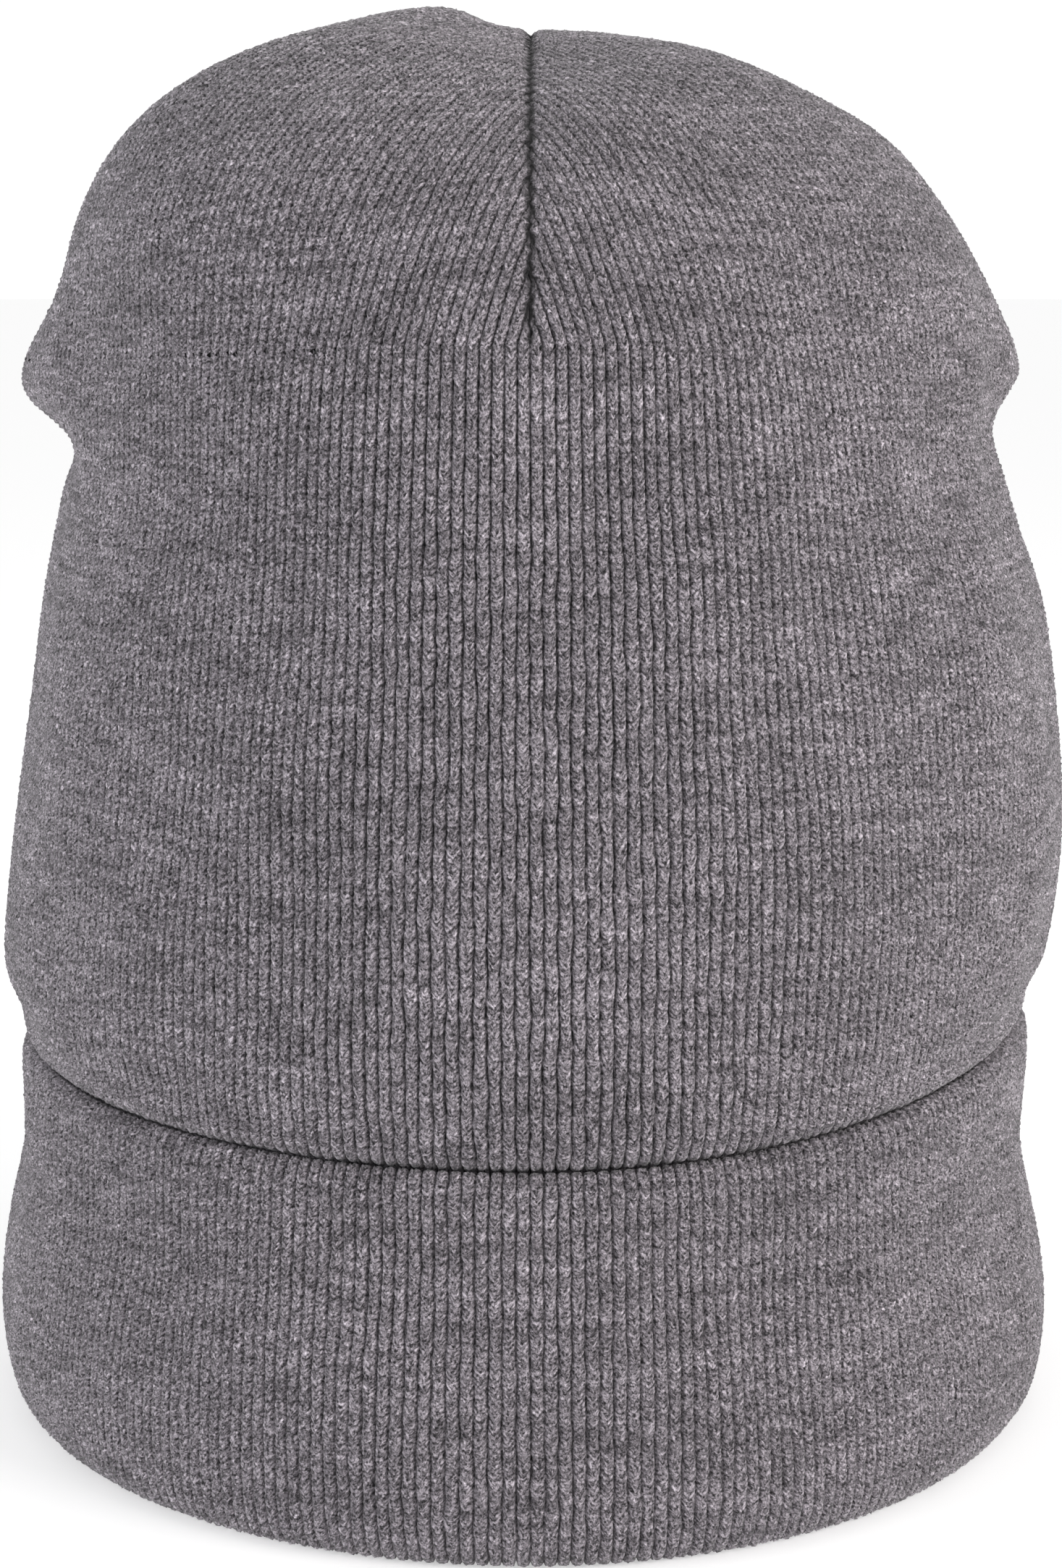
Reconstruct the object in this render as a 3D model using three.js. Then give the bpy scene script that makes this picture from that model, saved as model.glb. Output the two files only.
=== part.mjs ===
// A knit beanie: two layers of fine rib knit, closed by four darts, with its cuff turned up.
// Millimetres, +Z up, the front faces -Y. Left and right are the wearer's, so left is +X.
// The origin is the middle of the brim, on the surface that the hat stands on.
//
// The shape is worked out once, as one smooth surface over an angle and a station. The angle goes
// round the head from +X, and the station climbs from the brim (0) to the top of the crown (13).
// Each layer of knit is a panel between two depths under that surface.

import * as THREE from 'three';

// ---- Driving dimensions -------------------------------------------------------------------

const KNIT = 1.5; // one layer of knit
const EASE = 0.3; // room between two layers that lie on each other
const TUBE_LEFT = 79; // half widths and half depth of the outer layer inside the cuff
const TUBE_RIGHT = 81;
const TUBE_DEPTH = 102;
const BRIM_LEVEL = 3; // the outer layer starts this far above the rolled brim
const CROWN_TOP = 224.6;

const THREAD_RIDGE = 1.1; // an overlocked dart seam stands this high on its layer
const THREAD_WIDTH = 2.4;
const DART_VALLEY = 2.6; // a dart pulls the crown in by this much
const DART_VALLEY_WIDTH = 5;
const CROWN_GAP = 0.5; // half of the room between two quarters of the crown
const BODY_GAP = 0.2; // and between two quarters of the body or the cuff

const COLUMNS = 40; // panels are divided this often round the head
const PANEL_COLUMNS = COLUMNS / 4;

// ---- Profiles of the outer layer: [half width or half depth, height] at each station -------

const LEFT = [
  [TUBE_LEFT, BRIM_LEVEL], [TUBE_LEFT, 32], [TUBE_LEFT + 0.1, 65], [82.5, 68.7], [87.5, 76],
  [90, 97], [86, 128], [78, 158], [76.5, 172], [73, 190], [61, 206], [43, 215.7], [22, 221.7],
  [0, CROWN_TOP],
];
const RIGHT = [
  [TUBE_RIGHT, BRIM_LEVEL], [TUBE_RIGHT, 32], [TUBE_RIGHT + 0.1, 60.8], [84.5, 64.3], [88.5, 72.8],
  [86.5, 97], [82.5, 128], [77, 158], [77, 172], [76, 190], [68, 207.6], [49, 219.8], [24, 225.6],
  [0, CROWN_TOP],
];
const FRONT = [
  [TUBE_DEPTH, BRIM_LEVEL], [TUBE_DEPTH, 30], [TUBE_DEPTH + 0.1, 59.5], [104, 63], [106.5, 72],
  [107.5, 97], [106, 130], [102.5, 158.5], [98, 176.6], [88, 195.8], [70, 211.8], [46, 222],
  [22, 226.4], [0, CROWN_TOP],
];
const BACK = [
  [TUBE_DEPTH, BRIM_LEVEL], [TUBE_DEPTH, 31], [TUBE_DEPTH + 0.1, 61], [105.5, 64.5], [109, 74],
  [111, 98], [109.5, 130], [105, 160], [100, 177], [90, 196.5], [71, 211.6], [47, 221], [24, 226],
  [0, CROWN_TOP],
];

// A side dart ends in a soft point, an ear, with a pinch under it: [size, height] of each.
const EARS = {
  left: { ear: [5.6, 171.5], pinch: [1.2, 161.5] },
  right: { ear: [7.5, 169], pinch: [1.5, 158] },
};
const EAR_REACH = 0.36; // how far round the head an ear reaches, in radians
const EAR_ABOVE = 13;
const EAR_BELOW = 6.5;
const PINCH_HEIGHT = 4.5;

const DART_TIP = 8; // the station where the four darts start
const DART_EASE = 1.2;
const BODY_STATIONS = [0, 1, 2, 3, 4, 5, 6, 7, 7.5, DART_TIP];
const CROWN_STATIONS = [DART_TIP, 8.8, 9.6, 10.4, 11.2, 12, 12.9];
const EDGE_STATION = 0.02; // half of the room between the body and the crown, in stations

// How far each quarter of the crown is blown out between its darts.
const CROWN_PUFF = { back_left: 1, back_right: 1, front_right: 3, front_left: 1 };

// ---- Depths of the layers under the surface ------------------------------------------------

const LINING_NEAR = KNIT + EASE; // the lining lies on the outer layer, up to the darts
const OUTER_RIDGE = KNIT + 1.5 * EASE;
const LINING_RIDGE = OUTER_RIDGE + THREAD_RIDGE + 1.5 * EASE;
const LINING_FAR = LINING_RIDGE + THREAD_RIDGE + 3.5 * EASE; // clear of both rows of seams
const LINING_LEAVES = 5.2; // the stations between which the lining goes from near to far
const LINING_ARRIVES = 7;

// ---- Cuff: centre line of its visible layer, as [distance out from the tube, height] --------

const FOOT_LEVEL = KNIT / 2 - 0.15; // what would reach under zero is flat, a foot to stand on
const CUFF_LINE = [
  [-2.6, 3.2], [-1.7, 1.2], [-0.4, FOOT_LEVEL], [3.6, FOOT_LEVEL], [7.4, 5], [8.4, 15],
  [7.2, 29], [5.2, 44], [4.9, 55], [4.7, 60], [3.4, 62.4], [2.3, 61.4], [1.8, 58.8],
];
const CUFF_TOP = 62.4;
const CUFF_BACK = { from: 0.4, to: 1.9, bottom: 3, top: 57.8 };
const CUFF_DROP = { left: -1.2, right: 3.2, front: 4.5, back: 3 }; // the cuff is lower here
const CUFF_SLIMMER = { size: 1.6, height: 38, reach: 16 }; // its left side is drawn in

// ---- Label and stitches ---------------------------------------------------------------------

const LABEL_HALF_ANGLE = 0.115;
const LABEL_STATIONS = [3.3, 3.8, 4.3, 4.8];
const LABEL_THICKNESS = 0.5;
const LABEL_DEPTH = LINING_NEAR + KNIT + 1.5; // it hangs a little clear of the lining
const STITCH_HEIGHT = 0.5;
const STITCH_WIDTH = 1;
const TACK_RADIUS = 2.3;
const TACK_HEIGHT = 0.7;
const SEAM_END = 12.5; // a dart seam stops short of the tack at the top

// ---- Colours --------------------------------------------------------------------------------

const HEATHER = { color: 0x77727a, roughness: 0.95, metalness: 0 };
const HEATHER_DARK = { color: 0x6a656d, roughness: 0.95, metalness: 0 };
const THREAD = { color: 0x5f5b63, roughness: 0.8, metalness: 0 };
const TAPE = { color: 0xd9d7d2, roughness: 0.6, metalness: 0 };

// ---- Surface ----------------------------------------------------------------------------------

// A smooth curve through a list of points, by station.
function along(points) {
  const curve = new THREE.SplineCurve(points.map(([x, y]) => new THREE.Vector2(x, y)));
  const last = points.length - 1;
  return (station) => curve.getPoint(THREE.MathUtils.clamp(station / last, 0, 1));
}

const profiles = {
  left: along(LEFT),
  right: along(RIGHT),
  front: along(FRONT),
  back: along(BACK),
};
const LAST_STATION = LEFT.length - 1;

function bell(distance, width) {
  return Math.exp(-((distance / width) ** 2));
}

// How far the ear and the pinch of one side dart move the surface out at a height.
function earAt(height, { ear, pinch }) {
  const reach = height > ear[1] ? EAR_ABOVE : EAR_BELOW;
  return ear[0] * bell(height - ear[1], reach) - pinch[0] * bell(height - pinch[1], PINCH_HEIGHT);
}

function baseSurface(angle, station, withEars) {
  const cos = Math.cos(angle);
  const sin = Math.sin(angle);
  const side = cos > 0 ? profiles.left(station) : profiles.right(station);
  const end = sin > 0 ? profiles.back(station) : profiles.front(station);
  const point = new THREE.Vector3(side.x * cos, end.x * sin, side.y * cos ** 2 + end.y * sin ** 2);
  if (withEars) {
    const size = earAt(side.y, cos > 0 ? EARS.left : EARS.right);
    point.x += Math.sign(cos) * size * bell(Math.asin(sin), EAR_REACH) * cos ** 2;
  }
  return point;
}

function surfaceNormal(angle, station, withEars) {
  const step = 1e-3;
  const above = Math.min(station + step, LAST_STATION - step);
  const below = Math.max(station - step, 0);
  const around = baseSurface(angle + step, below, withEars).sub(
    baseSurface(angle - step, below, withEars),
  );
  const up = baseSurface(angle, above, withEars).sub(baseSurface(angle, below, withEars));
  return around.cross(up).normalize();
}

function quarterName(angle) {
  const end = Math.sin(angle) > 0 ? 'back' : 'front';
  return `${end}_${Math.cos(angle) > 0 ? 'left' : 'right'}`;
}

// The crown is drawn in along its darts and blown out between them.
function crownRelief(angle, station, radius) {
  const share = THREE.MathUtils.smoothstep(station, DART_TIP, DART_TIP + DART_EASE);
  const toSeam = Math.min(Math.abs(Math.sin(angle)), Math.abs(Math.cos(angle))) * radius;
  const drawn = bell(toSeam, DART_VALLEY_WIDTH);
  const blown = CROWN_PUFF[quarterName(angle)] * Math.sin(2 * angle) ** 2;
  return share * (blown * (1 - drawn) - DART_VALLEY * drawn);
}

// The point at a depth under the surface.
function under(angle, station, depth, withEars = true) {
  const point = baseSurface(angle, station, withEars);
  const relief = crownRelief(angle, station, Math.hypot(point.x, point.y));
  return point.addScaledVector(surfaceNormal(angle, station, withEars), relief - depth);
}

function liningDepth(station) {
  const share = THREE.MathUtils.smoothstep(station, LINING_LEAVES, LINING_ARRIVES);
  return THREE.MathUtils.lerp(LINING_NEAR, LINING_FAR, share);
}

// ---- Solids -----------------------------------------------------------------------------------

function signedVolume(points, index) {
  let sum = 0;
  for (let i = 0; i < index.length; i += 3) {
    const [a, b, c] = [points[index[i]], points[index[i + 1]], points[index[i + 2]]];
    sum += a.dot(b.clone().cross(c));
  }
  return sum / 6;
}

// A geometry with its faces pointing out, whichever way round its triangles were listed.
function solid(points, index) {
  if (signedVolume(points, index) < 0) index.reverse();
  const geometry = new THREE.BufferGeometry();
  geometry.setAttribute('position', new THREE.Float32BufferAttribute(points.flatMap((p) => [...p]), 3));
  geometry.setIndex(index);
  geometry.computeVertexNormals();
  return geometry;
}

function quad(index, a, b, c, d) {
  index.push(a, b, c, a, c, d);
}

// The solid between two grids of points. A ring closes on itself round the head.
function panel(outside, inside, columns, rows, ring) {
  const across = ring ? columns : columns + 1;
  const points = [];
  for (const face of [outside, inside]) {
    for (let row = 0; row <= rows; row += 1) {
      for (let column = 0; column < across; column += 1) points.push(face(column, row));
    }
  }
  const at = (face, column, row) => (face * (rows + 1) + row) * across + (column % across);
  const index = [];
  for (let column = 0; column < columns; column += 1) {
    for (let row = 0; row < rows; row += 1) {
      const [c, r] = [column + 1, row + 1];
      quad(index, at(0, column, row), at(0, c, row), at(0, c, r), at(0, column, r));
      quad(index, at(1, column, row), at(1, column, r), at(1, c, r), at(1, c, row));
    }
    const c = column + 1;
    quad(index, at(0, column, 0), at(1, column, 0), at(1, c, 0), at(0, c, 0));
    quad(index, at(0, column, rows), at(0, c, rows), at(1, c, rows), at(1, column, rows));
  }
  for (let row = 0; row < rows && !ring; row += 1) {
    const r = row + 1;
    quad(index, at(0, 0, row), at(0, 0, r), at(1, 0, r), at(1, 0, row));
    quad(index, at(0, columns, row), at(1, columns, row), at(1, columns, r), at(0, columns, r));
  }
  return solid(points, index);
}

// A ridge of thread with a half round section. Each frame has its foot, its side and its up.
function ridge(frames, width, height) {
  const SECTION = [[-0.5, 0], [-0.4, 0.7], [0, 1], [0.4, 0.7], [0.5, 0]];
  const points = frames.flatMap(({ foot, side, up }) =>
    SECTION.map(([x, y]) =>
      foot.clone().addScaledVector(side, x * width).addScaledVector(up, y * height)));
  const size = SECTION.length;
  const last = (frames.length - 1) * size;
  const index = [];
  for (let start = 0; start < last; start += size) {
    for (let i = 0; i < size; i += 1) {
      const j = (i + 1) % size;
      quad(index, start + i, start + j, start + size + j, start + size + i);
    }
  }
  for (let i = 1; i < size - 1; i += 1) {
    index.push(0, i + 1, i, last, last + i, last + i + 1);
  }
  return solid(points, index);
}

const hat = new THREE.Group();

function add(name, geometry, finish) {
  const mesh = new THREE.Mesh(geometry, new THREE.MeshStandardMaterial(finish));
  mesh.name = name;
  hat.add(mesh);
}

// ---- Outer layer and lining: each quarter of the body and of the crown is a panel -----------

const QUARTER_STARTS = [0, 0.5, 1, 1.5].map((turns) => turns * Math.PI);
const LINING_LIFT = 0.07; // the lining starts this many stations above the outer layer

// The angle of a column of a quarter whose sides keep a gap from the next quarters.
function quarterAngle(start, column, gap, radius) {
  const clear = Math.asin(gap / radius);
  return start + THREE.MathUtils.lerp(clear, Math.PI / 2 - clear, column / PANEL_COLUMNS);
}

// One layer over one quarter of the head.
function quarterPanel(start, stations, depthAt, withEars, gap) {
  const face = (extra) => (column, row) => {
    const station = stations[row];
    const corner = baseSurface(start, station, false);
    const angle = quarterAngle(start, column, gap, Math.hypot(corner.x, corner.y));
    return under(angle, station, depthAt(station) + extra, withEars);
  };
  return panel(face(0), face(KNIT), PANEL_COLUMNS, stations.length - 1, false);
}

function liningBody() {
  const stations = [LINING_LIFT, ...BODY_STATIONS.slice(1, -1), DART_TIP - EDGE_STATION];
  const face = (extra) => (column, row) => {
    const angle = (column / COLUMNS) * 2 * Math.PI;
    return under(angle, stations[row], liningDepth(stations[row]) + extra, false);
  };
  return panel(face(0), face(KNIT), COLUMNS, stations.length - 1, true);
}

function addLayers() {
  const body = [...BODY_STATIONS.slice(0, -1), DART_TIP - EDGE_STATION];
  const crown = [DART_TIP + EDGE_STATION, ...CROWN_STATIONS.slice(1)];
  add('lining_body', liningBody(), HEATHER_DARK);
  for (const start of QUARTER_STARTS) {
    const quarter = quarterName(start + Math.PI / 4);
    add(`outer_body_${quarter}`, quarterPanel(start, body, () => 0, true, BODY_GAP), HEATHER);
    add(`outer_crown_${quarter}`, quarterPanel(start, crown, () => 0, true, CROWN_GAP), HEATHER);
    const lining = quarterPanel(start, crown, liningDepth, false, CROWN_GAP);
    add(`lining_crown_${quarter}`, lining, HEATHER_DARK);
  }
}

// ---- Cuff ---------------------------------------------------------------------------------------

// How much lower the cuff is at an angle than at its highest point.
function cuffDrop(angle) {
  const cos = Math.cos(angle);
  const sin = Math.sin(angle);
  const side = cos > 0 ? CUFF_DROP.left : CUFF_DROP.right;
  const end = sin > 0 ? CUFF_DROP.back : CUFF_DROP.front;
  return side * cos ** 2 + end * sin ** 2;
}

// The point at a distance out from the tube, with its height shortened as the cuff is.
function cuffPoint(angle, out, height) {
  const cos = Math.cos(angle);
  const sin = Math.sin(angle);
  const share = THREE.MathUtils.clamp(height / CUFF_TOP, 0, 1);
  const slimmer = CUFF_SLIMMER.size * bell(height - CUFF_SLIMMER.height, CUFF_SLIMMER.reach);
  const reach = out - slimmer * Math.max(cos, 0) ** 2 * (out > CUFF_BACK.to ? 1 : 0);
  const width = cos > 0 ? TUBE_LEFT : TUBE_RIGHT;
  const z = Math.max(height - cuffDrop(angle) * share, 0);
  return new THREE.Vector3((width + reach) * cos, (TUBE_DEPTH + reach) * sin, z);
}

// Both sides of the cuff's centre line, half a layer away from it.
function cuffSides() {
  const centre = CUFF_LINE.map(([x, y]) => new THREE.Vector2(x, y));
  const reach = centre.map((point, k) => {
    const before = centre[Math.max(k - 1, 0)];
    const after = centre[Math.min(k + 1, centre.length - 1)];
    const tangent = after.clone().sub(before).normalize();
    return new THREE.Vector2(tangent.y, -tangent.x).multiplyScalar(KNIT / 2);
  });
  const outer = centre.map((point, k) => point.clone().add(reach[k]));
  const inner = centre.map((point, k) => point.clone().sub(reach[k]));
  return { outer, inner };
}

function addCuff() {
  const { outer, inner } = cuffSides();
  const rows = CUFF_LINE.length - 1;
  for (const start of QUARTER_STARTS) {
    const face = (side) => (column, row) => {
      const angle = quarterAngle(start, column, BODY_GAP, TUBE_LEFT);
      return cuffPoint(angle, side[row].x, side[row].y);
    };
    const quarter = quarterName(start + Math.PI / 4);
    add(`cuff_face_${quarter}`, panel(face(outer), face(inner), PANEL_COLUMNS, rows, false), HEATHER);
  }
  const { from, to, bottom, top } = CUFF_BACK;
  const heights = [bottom, (bottom + top) / 2, top];
  const back = (out) => (column, row) =>
    cuffPoint((column / COLUMNS) * 2 * Math.PI, out, heights[row]);
  add('cuff_back', panel(back(to), back(from), COLUMNS, heights.length - 1, true), HEATHER_DARK);
}

// ---- Seams, tacks, label and stitches -----------------------------------------------------------

// Frames for a ridge that follows stations at an angle, with its foot at a depth. It rises
// inwards, or outwards where outwards is true.
function framesUp(angle, stations, depth, withEars, outwards) {
  return stations.map((station) => {
    const up = surfaceNormal(angle, station, withEars).multiplyScalar(outwards ? 1 : -1);
    const side = new THREE.Vector3(-Math.sin(angle), Math.cos(angle), 0);
    return { foot: under(angle, station, depth, withEars), side, up };
  });
}

function addDartSeams() {
  const stations = [...CROWN_STATIONS.slice(0, -1), SEAM_END];
  const sides = ['left', 'back', 'right', 'front'];
  sides.forEach((side, k) => {
    const angle = QUARTER_STARTS[k];
    const outer = framesUp(angle, stations, OUTER_RIDGE, true, false);
    const lining = framesUp(angle, stations, LINING_RIDGE + THREAD_RIDGE, false, true);
    add(`outer_dart_seam_${side}`, ridge(outer, THREAD_WIDTH, THREAD_RIDGE), THREAD);
    add(`lining_dart_seam_${side}`, ridge(lining, THREAD_WIDTH, THREAD_RIDGE), THREAD);
  });
}

// The knot of thread that holds the four seams together, a flat button under the crown.
function tack(depth) {
  const geometry = new THREE.CylinderGeometry(TACK_RADIUS, TACK_RADIUS, TACK_HEIGHT, 16);
  geometry.rotateX(Math.PI / 2);
  geometry.translate(0, 0, CROWN_TOP - DART_VALLEY - depth - TACK_HEIGHT / 2);
  return geometry;
}

function addTacks() {
  add('outer_crown_tack', tack(OUTER_RIDGE + EASE), THREAD);
  add('lining_crown_tack', tack(LINING_RIDGE), THREAD);
}

function addLabel() {
  const back = Math.PI / 2;
  const columns = 4;
  const face = (depth) => (column, row) => {
    const turn = (column / columns) * 2 - 1;
    return under(back + turn * LABEL_HALF_ANGLE, LABEL_STATIONS[row], depth, false);
  };
  const rows = LABEL_STATIONS.length - 1;
  const label = panel(face(LABEL_DEPTH), face(LABEL_DEPTH + LABEL_THICKNESS), columns, rows, false);
  add('care_label', label, TAPE);
  const station = LABEL_STATIONS[rows] - 0.1;
  const depth = LABEL_DEPTH + LABEL_THICKNESS + EASE;
  const frames = [-0.9, -0.45, 0, 0.45, 0.9].map((turn) => {
    const angle = back + turn * LABEL_HALF_ANGLE;
    const foot = under(angle, station, depth, false);
    const up = surfaceNormal(angle, station, false).multiplyScalar(-1);
    return { foot, side: new THREE.Vector3(0, 0, 1), up };
  });
  add('label_stitches', ridge(frames, STITCH_WIDTH, STITCH_HEIGHT), THREAD);
}

// The lining's back dart was left open to turn the hat right side out, and closed from inside.
function addTurningGap() {
  const stations = [9.2, 9.8, 10.4, 11];
  const depth = LINING_FAR + KNIT + EASE + 0.1;
  const frames = framesUp(Math.PI / 2, stations, depth, false, false);
  add('turning_gap_stitches', ridge(frames, STITCH_WIDTH * 2, STITCH_HEIGHT), THREAD);
}

addCuff();
addLayers();
addDartSeams();
addTacks();
addLabel();
addTurningGap();

// The origin goes to the middle of the hat's box. The brim already stands at height zero.
const middle = new THREE.Box3().setFromObject(hat).getCenter(new THREE.Vector3());
hat.position.set(-middle.x, -middle.y, 0);
hat.updateMatrixWorld(true);

export default hat;
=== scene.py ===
"""The looks of a knit beanie: two layers of fine rib knit, four darts and a turned-up cuff.

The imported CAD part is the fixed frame. Each of its layers is replaced here by knit that has real
ribs and stitches. Lengths are in millimetres until a mesh is made, +Z is up, the front faces -Y,
and left and right are the wearer's, so left is +X. Angles go round the head from +X, and stations
climb from the brim (0) to the top of the crown (13), as in the CAD part.
"""

import math

import bpy
import numpy as np
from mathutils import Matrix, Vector


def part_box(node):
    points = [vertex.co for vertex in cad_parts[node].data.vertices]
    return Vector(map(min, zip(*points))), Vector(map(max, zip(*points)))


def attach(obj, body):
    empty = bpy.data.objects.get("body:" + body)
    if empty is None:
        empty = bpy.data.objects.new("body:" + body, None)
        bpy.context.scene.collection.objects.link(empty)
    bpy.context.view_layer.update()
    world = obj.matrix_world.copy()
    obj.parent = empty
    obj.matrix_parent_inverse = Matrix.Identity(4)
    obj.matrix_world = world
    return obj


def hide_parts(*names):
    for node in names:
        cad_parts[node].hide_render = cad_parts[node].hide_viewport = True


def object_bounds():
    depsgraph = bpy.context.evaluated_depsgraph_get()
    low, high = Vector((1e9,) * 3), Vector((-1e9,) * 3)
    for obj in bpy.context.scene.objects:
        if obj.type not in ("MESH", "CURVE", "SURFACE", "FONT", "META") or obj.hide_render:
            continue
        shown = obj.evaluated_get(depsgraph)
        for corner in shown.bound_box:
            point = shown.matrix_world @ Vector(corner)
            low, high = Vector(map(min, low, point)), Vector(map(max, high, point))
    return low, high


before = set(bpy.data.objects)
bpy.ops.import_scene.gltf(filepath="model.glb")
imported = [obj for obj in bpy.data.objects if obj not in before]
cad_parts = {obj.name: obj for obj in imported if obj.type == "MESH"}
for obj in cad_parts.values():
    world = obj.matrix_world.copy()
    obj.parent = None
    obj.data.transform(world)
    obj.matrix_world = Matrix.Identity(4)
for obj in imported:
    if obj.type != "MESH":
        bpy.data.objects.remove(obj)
cad_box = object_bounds()

# ---- Driving dimensions of the CAD part ----

MM = 0.001
KNIT = 1.5  # one layer of knit
EASE = 0.3  # room between two layers
TUBE_LEFT = 79
TUBE_RIGHT = 81
TUBE_DEPTH = 102
BRIM_LEVEL = 3
CROWN_TOP = 224.6

LEFT = [
    (TUBE_LEFT, BRIM_LEVEL), (TUBE_LEFT, 32), (TUBE_LEFT + 0.1, 65), (82.5, 68.7), (87.5, 76),
    (90, 97), (86, 128), (78, 158), (76.5, 172), (73, 190), (61, 206), (43, 215.7), (22, 221.7),
    (0, CROWN_TOP),
]
RIGHT = [
    (TUBE_RIGHT, BRIM_LEVEL), (TUBE_RIGHT, 32), (TUBE_RIGHT + 0.1, 60.8), (84.5, 64.3), (88.5, 72.8),
    (86.5, 97), (82.5, 128), (77, 158), (77, 172), (76, 190), (68, 207.6), (49, 219.8), (24, 225.6),
    (0, CROWN_TOP),
]
FRONT = [
    (TUBE_DEPTH, BRIM_LEVEL), (TUBE_DEPTH, 30), (TUBE_DEPTH + 0.1, 59.5), (104, 63), (106.5, 72),
    (107.5, 97), (106, 130), (102.5, 158.5), (98, 176.6), (88, 195.8), (70, 211.8), (46, 222),
    (22, 226.4), (0, CROWN_TOP),
]
BACK = [
    (TUBE_DEPTH, BRIM_LEVEL), (TUBE_DEPTH, 31), (TUBE_DEPTH + 0.1, 61), (105.5, 64.5), (109, 74),
    (111, 98), (109.5, 130), (105, 160), (100, 177), (90, 196.5), (71, 211.6), (47, 221), (24, 226),
    (0, CROWN_TOP),
]
LAST_STATION = len(LEFT) - 1

EARS = {"left": ((5.6, 171.5), (1.2, 161.5)), "right": ((7.5, 169), (1.5, 158))}
EAR_REACH = 0.36
EAR_ABOVE = 13
EAR_BELOW = 6.5
PINCH_HEIGHT = 4.5

DART_TIP = 8
DART_EASE = 1.2
DART_VALLEY = 0.6  # the CAD part has 2.6, to keep its quarters apart
DART_VALLEY_WIDTH = 8
QUARTERS = ("back_left", "back_right", "front_right", "front_left")
CROWN_PUFF = np.array([1, 1, 3, 1])

THREAD_RIDGE = 1.1
LINING_NEAR = KNIT + EASE
OUTER_RIDGE = KNIT + 1.5 * EASE
LINING_RIDGE = OUTER_RIDGE + THREAD_RIDGE + 1.5 * EASE
LINING_FAR = LINING_RIDGE + THREAD_RIDGE + 3.5 * EASE
LINING_LEAVES = 5.2
LINING_ARRIVES = 7
LINING_LIFT = 0.07

FOOT_LEVEL = KNIT / 2 - 0.15
CUFF_LINE = [
    (-2.6, 3.2), (-1.7, 1.2), (-0.4, FOOT_LEVEL), (3.6, FOOT_LEVEL), (7.4, 5), (8.4, 15),
    (7.2, 29), (5.2, 44), (4.9, 55), (4.7, 60), (3.4, 62.4), (2.3, 61.4), (1.8, 58.8),
]
CUFF_TOP = 62.4
CUFF_BACK_FROM = 0.4
CUFF_BACK_TO = 1.9
CUFF_BACK_BOTTOM = 3
CUFF_BACK_TOP = 57.8
CUFF_DROP = {"left": -1.2, "right": 3.2, "front": 4.5, "back": 3}
CUFF_SLIMMER = (1.6, 38, 16)  # size, height and reach

# Above the cuff's edge the outer layer bulges over it, and goes back to its own profile higher up.
OVERHANG = 4.8
OVERHANG_START = 0.35
OVERHANG_RISE = 1.1
OVERHANG_BLEND = 1.6
OVERHANG_FADE = (8, 30)

# ---- The knit ----

RIBS = 304  # round the head
QUARTER_RIBS = RIBS // 4
COURSE = 0.9  # height of a stitch
CHEVRON = 1.25  # how far a stitch climbs from the middle of its rib to the groove, in courses
RIB_COLUMNS = np.array([0, 0.12, 0.32, 0.5, 0.68, 0.88])
RIB_PROFILE = np.array([0, 0.74, 1, 0.9, 1, 0.74])
RIB_DEPTH = 0.8
CROWN_RIB_DEPTH = 0.5
CROWN_RIBS_FROM = (-14, 22)  # the grooves get shallower between these distances from the dart tips
STITCH_DEPTH = 0.17
STITCH_CLIMB = CHEVRON * COURSE
HALF_COURSE = COURSE / 2
UNEVEN_RIB = 0.1
UNEVEN_STITCH = 0.22
UNEVEN_CREST = 0.35
CREST_IN_GROOVE = 0.15
FLUFF_HEIGHT = 0.04
PLAIN_COLUMNS = np.array([0, 0.25, 0.5, 0.75])
PLAIN_PROFILE = np.array([0, 0.85, 1, 0.85])
PLAIN_ROW = 2.4  # the lining's rows are further apart

WAVE_HEIGHT = 0.45
WAVE_STATIONS = (2.2, 4)  # the waves grow between these
WOBBLE = 0.05  # how far a groove wanders, in ribs
SWAY = 0.8  # many ribs wander together, in waves of these radians per rib and millimetres per radian
SWAYS = ((0.23, 11), (0.11, -17))

# The origin of the CAD part was moved to the middle of its box. Its crown tack was on the old axis.
tack_low, tack_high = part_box("outer_crown_tack")
AXIS = np.array([(tack_low.x + tack_high.x) / 2, (tack_low.y + tack_high.y) / 2, 0])


def bell(distance, width):
    return np.exp(-((distance / width) ** 2))


def smoothstep(value, start, end):
    share = np.clip((value - start) / (end - start), 0, 1)
    return share * share * (3 - 2 * share)


def limited_slope(step_in, step_out):
    """The slope at a point of a curve, kept so small that a short step is never overshot."""
    limit = 2 * np.minimum(np.abs(step_in), np.abs(step_out))
    return np.clip((step_in + step_out) / 2, -limit, limit)


def spline(points, station):
    """The point of a smooth curve through a list of points, by station."""
    points = np.array(points, float)
    last = len(points) - 1
    station = np.clip(station, 0, last)
    first = np.minimum(np.floor(station).astype(int), last - 1)
    t = (station - first)[..., None]
    start = points[first]
    end = points[first + 1]
    before = np.where((first > 0)[..., None], points[np.maximum(first - 1, 0)], 2 * start - end)
    beyond = (first + 2 > last)[..., None]
    after = np.where(beyond, 2 * end - start, points[np.minimum(first + 2, last)])
    leave = limited_slope(start - before, end - start)
    arrive = limited_slope(end - start, after - end)
    cubic = 2 * start - 2 * end + leave + arrive
    square = -3 * start + 3 * end - 2 * leave - arrive
    return cubic * t**3 + square * t**2 + leave * t + start


def ear_at(height, side):
    ear, pinch = EARS[side]
    reach = np.where(height > ear[1], EAR_ABOVE, EAR_BELOW)
    return ear[0] * bell(height - ear[1], reach) - pinch[0] * bell(height - pinch[1], PINCH_HEIGHT)


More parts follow.
